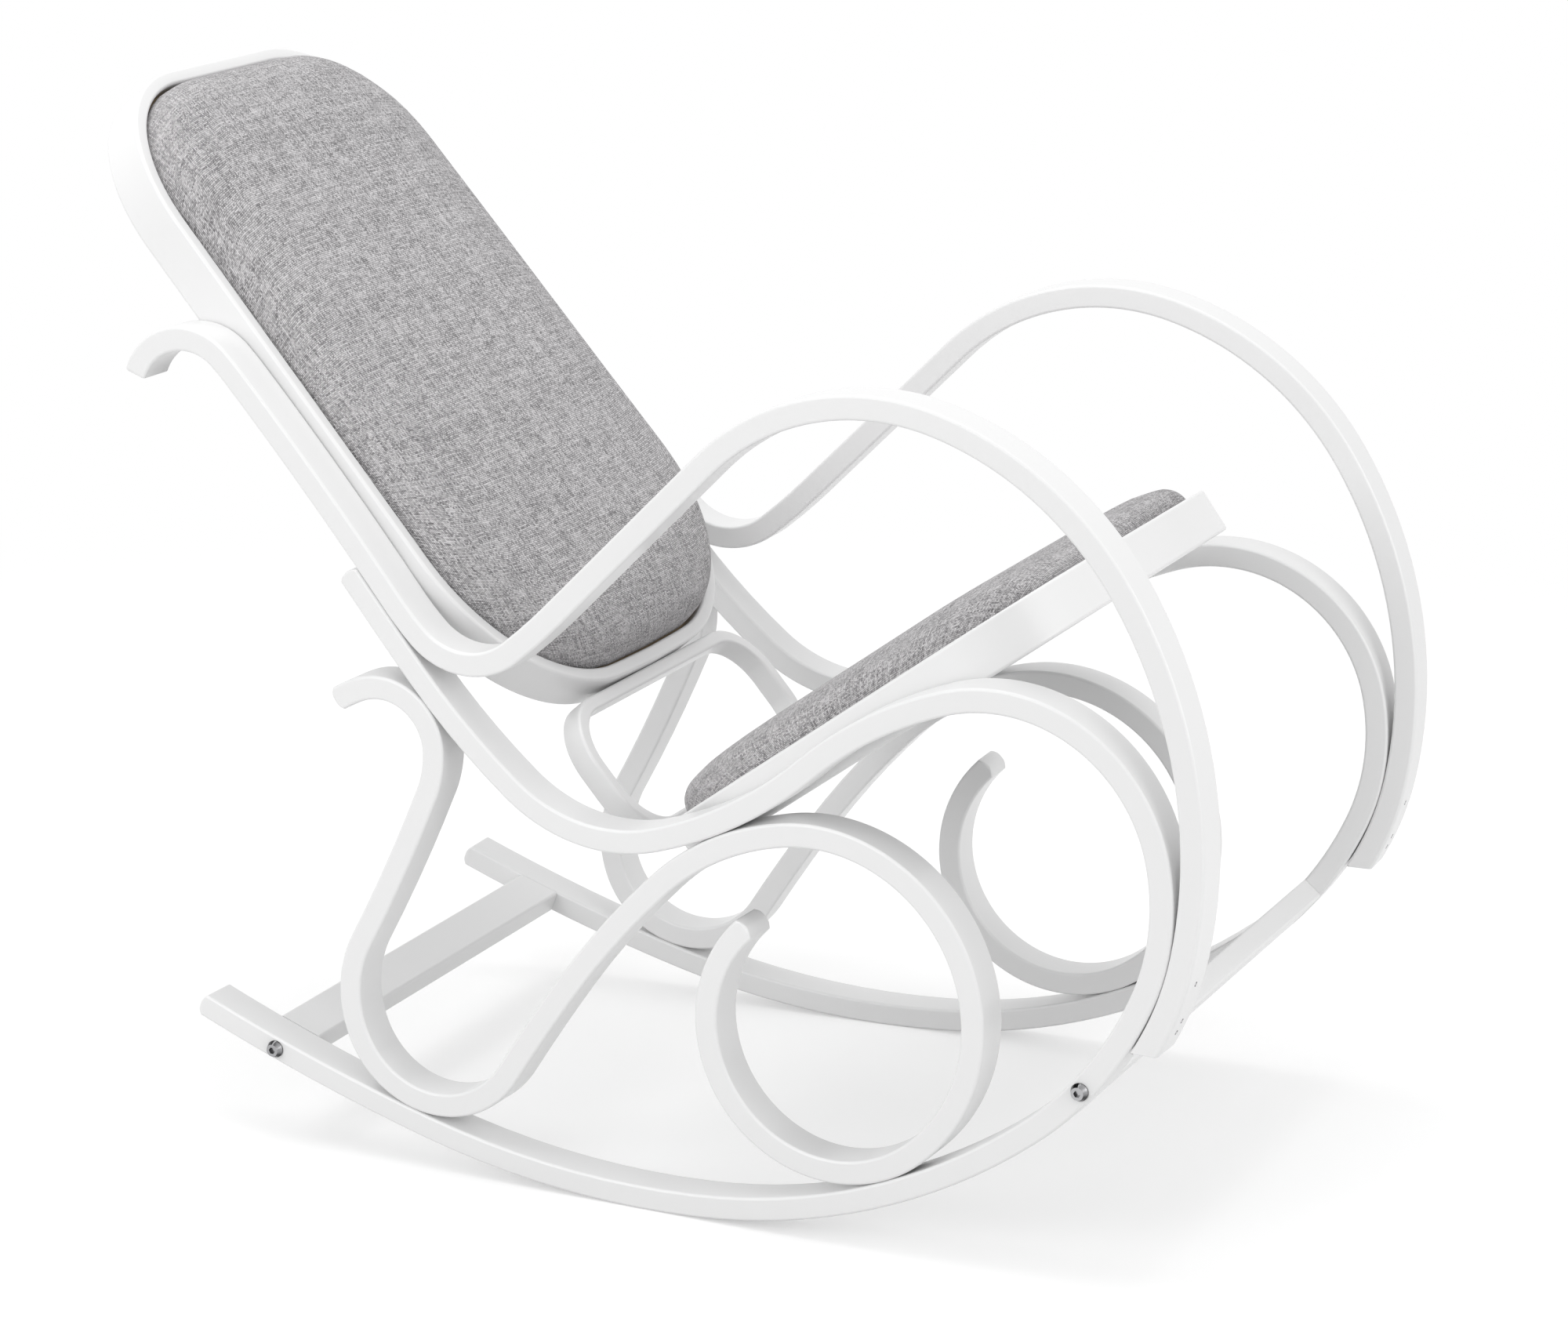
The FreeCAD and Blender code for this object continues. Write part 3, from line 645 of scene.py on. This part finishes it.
def barPiece(name, fromEnd):
    x, z, h = fromLast(runner, fromEnd)
    turn = math.radians(sideFrame["splay"])
    inner = sideFrame["half"] - (sideFrame["width"] + stretcher["touch"]) / math.cos(turn)
    shell = bmesh.new()
    ends = []
    for sign in (-1, 1):
        end = []
        for a, b in ((-1, -1), (1, -1), (1, 1), (-1, 1)):
            u, v = a * stretcher["width"] / 2, b * stretcher["thickness"] / 2
            px, pz = x + u * math.cos(h) - v * math.sin(h), z + u * math.sin(h) + v * math.cos(h)
            rx, rz = toRow(px, pz)
            end.append(shell.verts.new((rx, sign * (inner + px * math.tan(turn)), rz)))
        ends.append(end)
    sides = []
    for i in range(4):
        j = (i + 1) % 4
        face = shell.faces.new((ends[0][i], ends[0][j], ends[1][j], ends[1][i]))
        sides.append(next(e for e in face.edges if set(e.verts) == {ends[0][i], ends[1][i]}))
    shell.faces.new(reversed(ends[0]))
    shell.faces.new(ends[1])
    bmesh.ops.bevel(shell, geom=sides, offset=stretcher["edgeRadius"], segments=5, affect="EDGES",
                    profile=0.5)
    for edge in shell.edges:           # the sawn ends stay crisp
        if abs(edge.verts[0].co.y - edge.verts[1].co.y) < 0.01:
            edge.smooth = False
    mesh = meshOf(shell, name)
    mesh.materials.append(lacquer)
    for face in mesh.polygons:
        face.use_smooth = True
    return evenShade(addObject(name, mesh))


for nodeName, place in (("rear_stretcher", "rearFromEnd"), ("front_stretcher", "frontFromEnd")):
    settle(barPiece(nodeName + "_bar", stretcher[place]), [nodeName])
print("stretchers set")


# Rounded outlines: corners are (u, v, radius) in the plane of a hoop
def cornerOf(corners, i):
    here = Vector(corners[i][:2])
    back = (Vector(corners[i - 1][:2]) - here).normalized()
    ahead = (Vector(corners[(i + 1) % len(corners)][:2]) - here).normalized()
    return here, back, ahead, back.angle(ahead) / 2


def inset(corners, amount, least=0.006):
    moved = []
    for i in range(len(corners)):
        here, back, ahead, half = cornerOf(corners, i)
        spot = here + (back + ahead).normalized() * (amount / math.sin(half))
        moved.append((spot.x, spot.y, max(corners[i][2] - amount, least)))
    return moved


def roundedLoop(corners, step=3.0):
    points = []
    for i in range(len(corners)):
        here, back, ahead, half = cornerOf(corners, i)
        radius = corners[i][2]
        centre = here + (back + ahead).normalized() * (radius / math.sin(half))
        first = here + back * (radius / math.tan(half)) - centre
        turn = math.pi - 2 * half
        if first.x * back.y - first.y * back.x > 0:          # a corner that turns clockwise
            turn = -turn
        count = max(2, math.ceil(math.degrees(abs(turn)) / step))
        for k in range(count + 1):
            a = turn * k / count
            points.append((centre.x + first.x * math.cos(a) - first.y * math.sin(a),
                           centre.y + first.x * math.sin(a) + first.y * math.cos(a)))
    return points


# Back and seat
hoopShape = {"wall": 0.012, "depth": 0.037, "edgeRadius": 0.0026}
back = {
    "zero": (-0.3351, 0.19247), "lean": 130.8,               # a point of its middle plane, and its direction
    "bottom": -0.24381, "top": 0.36369, "halfBottom": 0.21374, "halfTop": 0.2003,
    "topRadius": 0.13, "bottomRadius": 0.15, "bottomBow": 0.005, "crown": 0.033,
    "bowShare": 0.4, "bowRadius": 1.5,         # the bottom's middle: share of the bow, and bend
    "board": 0.018, "boardTop": 0.023,         # the board's two faces, from the hoop's rear edge
}
seat = {
    "zero": (0.0593, 0.0305), "slope": 35.9, "rear": -0.18263, "front": 0.23037,
    "halfRear": 0.21717, "halfFront": 0.2285, "rearRadius": 0.128, "frontRadius": 0.095, "crown": 0.0265,
    "board": 0.003, "boardTop": 0.021,
}
ring = {"width": 0.328, "height": 0.126, "wall": 0.012, "depth": 0.02, "radius": 0.052, "top": -0.24521}

backCorners = [
    (-back["halfBottom"], back["bottom"] + back["bottomBow"], back["bottomRadius"]),
    (0.0, back["bottom"] - back["bottomBow"] * back["bowShare"], back["bowRadius"]),
    (back["halfBottom"], back["bottom"] + back["bottomBow"], back["bottomRadius"]),
    (back["halfTop"], back["top"], back["topRadius"]),
    (-back["halfTop"], back["top"], back["topRadius"]),
]
seatCorners = [
    (-seat["halfRear"], seat["rear"], seat["rearRadius"]),
    (seat["halfRear"], seat["rear"], seat["rearRadius"]),
    (seat["halfFront"], seat["front"], seat["frontRadius"]),
    (-seat["halfFront"], seat["front"], seat["frontRadius"]),
]
ringCorners = [(x * ring["width"] / 2, ring["top"] - y * ring["height"], ring["radius"])
               for x, y in ((-1, 1), (1, 1), (1, 0), (-1, 0))]


def profilePlane(zero, degrees, side):
    a = math.radians(degrees)
    upward = Vector((math.cos(a), 0, math.sin(a)))
    across = Vector((0, side, 0))
    x, z = toRow(*zero)
    return planeMatrix(across, upward, across.cross(upward), (x, 0, z))


backPlane = profilePlane(back["zero"], back["lean"], 1)
seatPlane = profilePlane(seat["zero"], seat["slope"], -1)
seatHoopPlane = seatPlane @ Matrix.Translation((0, 0, -hoopShape["depth"] / 2))

for name, corners, plane, wall, depth in (
        ("back_hoop", backCorners, backPlane, hoopShape["wall"], hoopShape["depth"]),
        ("seat_hoop", seatCorners, seatHoopPlane, hoopShape["wall"], hoopShape["depth"]),
        ("link_ring", ringCorners, backPlane, ring["wall"], ring["depth"])):
    piece = bentBand(name + "_band", roundedLoop(inset(corners, wall / 2)), True, plane, lacquer,
                     wall, depth, hoopShape["edgeRadius"])
    settle(piece, [name])
print("hoops and ring bent")


# Cushions: a crowned shell that stands in its hoop, swelled a little as cloth
padShape = {
    "gap": 0.0012, "voxel": 0.005, "swell": 0.0015, "frames": 20, "pressure": 4.0, "heldBelow": 0.004,
    "around": 220, "overBoard": 0.0006,
    "foot": ((0.0, 0.004), (0.003, 0.0005)),                        # height over the foot, and drawn in by
    "shoulder": (12, 24, 36, 48, 60, 72), "shoulderRise": 0.8, "shoulderDraw": 0.024,
    "top": ((0.86, 0.034), (0.93, 0.06), (0.98, 0.1), (1.0, 0.15)),    # share of the crown, and drawn in by
}


def evenLoop(points, count):
    # the same outline with evenly spaced points, from the same start
    spans = [math.dist(points[i], points[(i + 1) % len(points)]) for i in range(len(points))]
    total, out, i, gone = sum(spans), [], 0, 0.0
    for k in range(count):
        want = total * k / count
        while gone + spans[i] < want:
            gone += spans[i]
            i += 1
        f = (want - gone) / spans[i] if spans[i] else 0.0
        a, b = points[i], points[(i + 1) % len(points)]
        out.append((a[0] + (b[0] - a[0]) * f, a[1] + (b[1] - a[1]) * f))
    return out


def drawnIn(corners, draw, count):
    return evenLoop(roundedLoop(inset(corners, draw, 0.012), 4.0), count)


def padMesh(name, corners, low, rim, crown):
    layers = [(low + rise, draw) for rise, draw in padShape["foot"]] + [(rim, 0.0)]
    for turn in padShape["shoulder"]:
        a = math.radians(turn)
        layers.append((rim + padShape["shoulderRise"] * crown * math.sin(a),
                       padShape["shoulderDraw"] * (1 - math.cos(a))))
    layers += [(rim + share * crown, draw) for share, draw in padShape["top"]]
    shell = bmesh.new()
    rings = []
    for height, draw in layers:
        loop = drawnIn(corners, draw, padShape["around"])
        rings.append([shell.verts.new((u, v, height)) for u, v in loop])
    for lower, upper in zip(rings, rings[1:]):
        bridge(shell, lower, upper)
    shell.faces.new(list(reversed(rings[0])))
    shell.faces.new(rings[-1])
    return meshOf(shell, name)


def applyAll(piece):
    graph = bpy.context.evaluated_depsgraph_get()
    mesh = bpy.data.meshes.new_from_object(piece.evaluated_get(graph), depsgraph=graph)
    piece.modifiers.clear()
    piece.data = mesh


def padPiece(name, corners, low, rim, crown, plane, finish):
    piece = addObject(name, padMesh(name, inset(corners, padShape["gap"]), low, rim, crown))
    remesh = piece.modifiers.new("evenQuads", "REMESH")
    remesh.mode = "VOXEL"
    remesh.voxel_size = padShape["voxel"]
    soften = piece.modifiers.new("soften", "SMOOTH")
    soften.iterations = 6
    soften.factor = 0.5
    applyAll(piece)
    start = [v.co.copy() for v in piece.data.vertices]
    held = piece.vertex_groups.new(name="held")
    held.add([i for i, co in enumerate(start) if co.z < rim - padShape["heldBelow"]], 1.0, "REPLACE")
    cloth = piece.modifiers.new("cover", "CLOTH")
    force = cloth.settings
    force.quality = 4
    force.vertex_group_mass = "held"
    force.use_pressure = True
    force.uniform_pressure_force = padShape["pressure"]
    force.effector_weights.gravity = 0.0
    cloth.point_cache.frame_start = 1
    cloth.point_cache.frame_end = padShape["frames"]
    scene = bpy.context.scene
    for step in range(1, padShape["frames"] + 1):
        scene.frame_set(step)
    applyAll(piece)
    scene.frame_set(1)
    for vertex, first in zip(piece.data.vertices, start):
        move = vertex.co - first
        if move.length > padShape["swell"]:
            vertex.co = first + move.normalized() * padShape["swell"]
    finer = piece.modifiers.new("finer", "SUBSURF")
    finer.levels = finer.render_levels = 1
    applyAll(piece)
    piece.vertex_groups.clear()
    piece.data.materials.clear()
    piece.data.materials.append(finish)
    piece.data.shade_smooth()
    piece.data.transform(plane)
    piece.data.update()
    return piece


depth = hoopShape["depth"]
backBase = backPlane @ Matrix.Translation((0, 0, -depth / 2))      # on the hoops' hidden edges
seatBase = seatPlane @ Matrix.Translation((0, 0, -depth))


def cushion(name, shape, corners, base, first, last, clothName):
    # the weave is counted from the middle of the cushion's top
    top = base @ Matrix.Translation((0, (shape[first] + shape[last]) / 2, depth + shape["crown"]))
    return padPiece(name, inset(corners, hoopShape["wall"]), shape["boardTop"] + padShape["overBoard"], depth,
                    shape["crown"], base, makeCloth(clothName, top))


backPad = cushion("back_cushion_cover", back, backCorners, backBase, "bottom", "top", "greyClothBack")
seatPad = cushion("seat_cushion_cover", seat, seatCorners, seatBase, "rear", "front", "greyClothSeat")
for piece, nodeName in ((backPad, "back_cushion"), (seatPad, "seat_cushion")):
    settle(piece, [nodeName])
print("cushions padded")


# Linings: thin black cloth drawn flat over the hidden side of each board
liningShape = {
    "thickness": 0.0006, "gap": 0.001, "off": 0.0002, "around": 160,
    "ripple": 0.00012, "waves": (130, 40, 90),
    "draws": (0.0, 0.003, 0.009, 0.02, 0.035, 0.055, 0.08, 0.11, 0.14, 0.165),
}


def liningPiece(name, corners, face, base, finish):
    outline = inset(corners, hoopShape["wall"] + liningShape["gap"])
    p, q, r = liningShape["waves"]
    shell = bmesh.new()
    sheets = []
    for sheet in range(2):
        height = face - liningShape["off"] - sheet * liningShape["thickness"]
        rings = []
        for k, draw in enumerate(liningShape["draws"]):
            wave = liningShape["ripple"] * (0 if k == 0 else 1)
            loop = drawnIn(outline, draw, liningShape["around"])
            lifts = [wave * (math.sin(u * p + v * q) * math.cos(v * r) - 1) for u, v in loop]
            rings.append([shell.verts.new((u, v, height + lift)) for (u, v), lift in zip(loop, lifts)])
        for outer, inner in zip(rings, rings[1:]):
            bridge(shell, outer, inner)
        shell.faces.new(rings[-1])
        sheets.append(rings[0])
    bridge(shell, sheets[0], sheets[1])
    mesh = meshOf(shell, name)
    mesh.transform(base)
    mesh.materials.append(finish)
    piece = addObject(name, mesh)
    loop = roundedLoop(outline)
    area = abs(sum(a[0] * b[1] - b[0] * a[1] for a, b in zip(loop, loop[1:] + loop[:1]))) / 2
    size = [max(p[k] for p in loop) - min(p[k] for p in loop) for k in (0, 1)]
    return piece, size, area


lining = makeLining()
for nodeName, boardName, corners, shape, base in (
        ("back_lining", "back_panel", backCorners, back, backBase),
        ("seat_lining", "seat_panel", seatCorners, seat, seatBase)):
    piece, size, area = liningPiece(nodeName + "_cloth", corners, shape["board"], base, lining)
    settle(piece, [nodeName])
print("linings stretched")


# Small fasteners: washers under the bolt heads, and the screws in the arm bows' lower ends
zinc, plywood = makeZinc(), makePlywood()
washerShape = {"outer": 0.0069, "bore": 0.0042, "thickness": 0.0011, "round": 0.0003, "off": 0.00005,
               "turns": 48}
screwShape = {"head": 0.0021, "proud": 0.0001, "round": 0.0002, "recess": 0.0012, "recessDepth": 0.0012,
              "length": 0.03, "tip": 0.004, "turns": 32, "fromEnd": (0.028, 0.038, 0.068)}


def turnedMesh(name, profile, turns):
    # a closed (radius, height) profile turned about Z; points on the axis are shared
    shell = bmesh.new()
    rings = []
    for i in range(turns):
        a = 2 * math.pi * i / turns
        rings.append([shell.verts.new((x * math.cos(a), x * math.sin(a), z)) for x, z in profile])
    for i in range(len(rings)):
        here, ahead = rings[i], rings[(i + 1) % len(rings)]
        for k in range(len(profile)):
            n = (k + 1) % len(profile)
            if profile[k][0] or profile[n][0]:
                shell.faces.new((here[k], ahead[k], ahead[n], here[n]))
    bmesh.ops.remove_doubles(shell, verts=shell.verts, dist=0.000001)
    return meshOf(shell, name)


def washerMesh():
    r, w, h, e = (washerShape[k] for k in ("outer", "bore", "thickness", "round"))
    profile = [(w, 0.0), (r, 0.0), (r, h - e), (r - e * 0.3, h - e * 0.3), (r - e, h), (w, h)]
    return turnedMesh("washer", profile, washerShape["turns"])


def screwMesh():
    r, top, e, hole, deep, long, tip = (screwShape[k] for k in (
        "head", "proud", "round", "recess", "recessDepth", "length", "tip"))
    profile = [(0.0, -deep), (hole * 0.6, -deep * 0.6), (hole, top), (r - e, top), (r, top - e),
               (r, tip - long), (0.0, -long)]
    return turnedMesh("screw", profile, screwShape["turns"])


def makeFastenerTree():
    # one fastener at each point, its Z along the point's "outward" attribute
    tree = bpy.data.node_groups.new("placeFasteners", "GeometryNodeTree")
    addSockets(tree, [
        ("Points", "NodeSocketGeometry", None),
        ("Fastener", "NodeSocketObject", None),
        ("Finish", "NodeSocketMaterial", None),
    ], [("Fasteners", "NodeSocketGeometry")])
    given = addNode(tree, "NodeGroupInput")
    put = addNode(tree, "NodeGroupOutput")
    outward = addNode(tree, "GeometryNodeInputNamedAttribute", data_type="FLOAT_VECTOR")
    outward.inputs["Name"].default_value = "outward"
    turned = addNode(tree, "FunctionNodeAlignRotationToVector", axis="Z")
    feed(tree, turned.inputs["Vector"], outward.outputs[0])
    source = addNode(tree, "GeometryNodeObjectInfo")
    feed(tree, source.inputs["Object"], given.outputs["Fastener"])
    placed = addNode(tree, "GeometryNodeInstanceOnPoints")
    feed(tree, placed.inputs["Points"], given.outputs["Points"])
    feed(tree, placed.inputs["Instance"], source.outputs["Geometry"])
    feed(tree, placed.inputs["Rotation"], turned.outputs[0])
    real = addNode(tree, "GeometryNodeRealizeInstances")
    feed(tree, real.inputs[0], placed.outputs[0])
    finish = addNode(tree, "GeometryNodeSetMaterial")
    feed(tree, finish.inputs["Geometry"], real.outputs[0])
    feed(tree, finish.inputs["Material"], given.outputs["Finish"])
    feed(tree, put.inputs[0], finish.outputs[0])
    layOut(tree)
    return tree


fastenerTree = makeFastenerTree()


def placedFasteners(name, fastenerMesh, places, finish):
    mesh = bpy.data.meshes.new(name + "Spots")
    mesh.from_pydata([spot for spot, direction in places], [], [])
    layer = mesh.attributes.new("outward", "FLOAT_VECTOR", "POINT")
    for i, (spot, direction) in enumerate(places):
        layer.data[i].vector = direction
    path = addObject(name + "Spots", mesh)
    source = addObject(name + "Source", fastenerMesh)
    runTree(path, fastenerTree, Fastener=source, Finish=finish)
    piece = plainMesh(path, name)
    bpy.data.objects.remove(source)
    return piece


def boltPlaces():                      # on the runners' outer faces, level with each stretcher
    off = sideFrame["width"] / 2 + washerShape["off"]
    places = []
    for sign in (-1, 1):
        matrix = sideMatrix(sign)
        face = matrix.to_3x3() @ Vector((0, 0, 1))
        face = face if face.y * sign > 0 else -face
        for fromEnd in (stretcher["rearFromEnd"], stretcher["frontFromEnd"]):
            x, z = fromLast(runner, fromEnd)[:2]
            places.append((matrix @ Vector((x, z, 0)) + face * off, face))
    return places


def screwPlaces():                     # on the outside of each arm bow's lower end
    places = []
    for sign in (-1, 1):
        matrix = sideMatrix(sign)
        for fromEnd in screwShape["fromEnd"]:
            x, z, h = fromLast(armBow, fromEnd)
            out = Vector((-math.sin(h), math.cos(h), 0))
            places.append((matrix @ (Vector((x, z, 0)) + out * (sideFrame["thickness"] / 2)),
                           matrix.to_3x3() @ out))
    return places


settle(placedFasteners("bolt_washers_thin", washerMesh(), boltPlaces(), zinc), ["bolt_washers"])
settle(placedFasteners("arm_end_screws_set", screwMesh(), screwPlaces(), zinc), ["arm_end_screws"])
print("washers and screws placed")


# Carried-over nodes
for nodeName, material in (
        ("back_panel", plywood), ("seat_panel", plywood), ("stretcher_bolts", zinc), ("barrel_nuts", zinc)):
    mesh = cadNodes[nodeName].data
    mesh.materials.clear()
    mesh.materials.append(material)
print("finishes given")


# Stage, light and camera
stage = {
    "size": 30.0, "floorTone": 0.64, "whiteLift": 0.42, "fadeFrom": 1.0, "fadeTo": 2.2, "worldLight": 0.76,
}
camera = {
    "place": (1.5535, -3.2953, 1.3453), "aim": (-0.4026, 0.8777, -0.2601), "lens": 108.0,
}
lamps = [
    # name, place, aimed at, size, power
    ("keySoftbox", (-0.9, -2.7, 1.2), (0.0, 0.0, 0.35), 1.6, 21.0),
    ("fillSoftbox", (2.3, -0.6, 1.1), (-0.2, 0.0, 0.5), 1.2, 13.0),
    ("topSoftbox", (-0.7, -0.1, 2.8), (-0.1, 0.0, 0.2), 2.0, 24.0),
]


def seenRays(tree):                    # rays that show the floor or the backdrop itself
    path = addNode(tree, "ShaderNodeLightPath")
    seen = path.outputs["Is Camera Ray"]
    for name in ("Is Glossy Ray", "Is Transmission Ray"):
        seen = calc(tree, "MAXIMUM", seen, path.outputs[name])
    return seen


def makeFloor():
    mesh = bpy.data.meshes.new("floor")
    r = stage["size"] / 2
    mesh.from_pydata([(-r, -r, 0), (r, -r, 0), (r, r, 0), (-r, r, 0)], [], [(0, 1, 2, 3)])
    floor = addObject("floor", mesh)
    material, tree, shader = newMaterial("paleFloor")
    dress(tree, shader, (stage["floorTone"],) * 3 + (1,), 0.9, Specular_IOR_Level=0.0)
    seen = seenRays(tree)
    lift = addNode(tree, "ShaderNodeEmission")
    feed(tree, lift.inputs["Strength"], calc(tree, "MULTIPLY", seen, stage["whiteLift"]))
    both = addNode(tree, "ShaderNodeAddShader")
    feed(tree, both.inputs[0], shader.outputs[0])
    feed(tree, both.inputs[1], lift.outputs[0])
    place = addNode(tree, "ShaderNodeTexCoord")            # plain white away from the chair
    reach = addNode(tree, "ShaderNodeVectorMath", operation="LENGTH")
    feed(tree, reach.inputs[0], place.outputs["Object"])
    fade = addNode(tree, "ShaderNodeMapRange", interpolation_type="SMOOTHSTEP")
    feed(tree, fade.inputs["Value"], reach.outputs["Value"])
    fade.inputs["From Min"].default_value = stage["fadeFrom"]
    fade.inputs["From Max"].default_value = stage["fadeTo"]
    white = addNode(tree, "ShaderNodeEmission")
    blend = addNode(tree, "ShaderNodeMixShader")
    feed(tree, blend.inputs[0], calc(tree, "MULTIPLY", fade.outputs[0], seen))
    feed(tree, blend.inputs[1], both.outputs[0])
    feed(tree, blend.inputs[2], white.outputs[0])
    feed(tree, tree.nodes["Material Output"].inputs["Surface"], blend.outputs[0])
    layOut(tree)
    mesh.materials.append(material)


def makeWorld():
    world = bpy.data.worlds.new("studio")
    world.use_nodes = True
    tree = world.node_tree
    backdrop = tree.nodes["Background"]
    level = mixed(tree, seenRays(tree), stage["worldLight"], 1.0, "FLOAT")
    feed(tree, backdrop.inputs["Strength"], level)
    backdrop.inputs["Color"].default_value = (1, 1, 1, 1)
    layOut(tree)
    bpy.context.scene.world = world


def makeLamp(name, place, target, size, power):
    light = bpy.data.lights.new(name, "AREA")
    light.shape = "SQUARE"
    light.size = size
    light.energy = power
    lamp = addObject(name, light)
    lamp.location = place
    lamp.rotation_euler = (Vector(target) - Vector(place)).to_track_quat("-Z", "Y").to_euler()


makeFloor()
makeWorld()
for lamp in lamps:
    makeLamp(*lamp)
lens = bpy.data.cameras.new("photoCamera")
lens.lens = camera["lens"]
lens.clip_end = 60.0
viewer = addObject("photoCamera", lens)
viewer.location = camera["place"]
viewer.rotation_euler = Vector(camera["aim"]).to_track_quat("-Z", "Y").to_euler()
bpy.context.scene.camera = viewer
bpy.context.scene.view_settings.view_transform = "Standard"
print("stage lit")
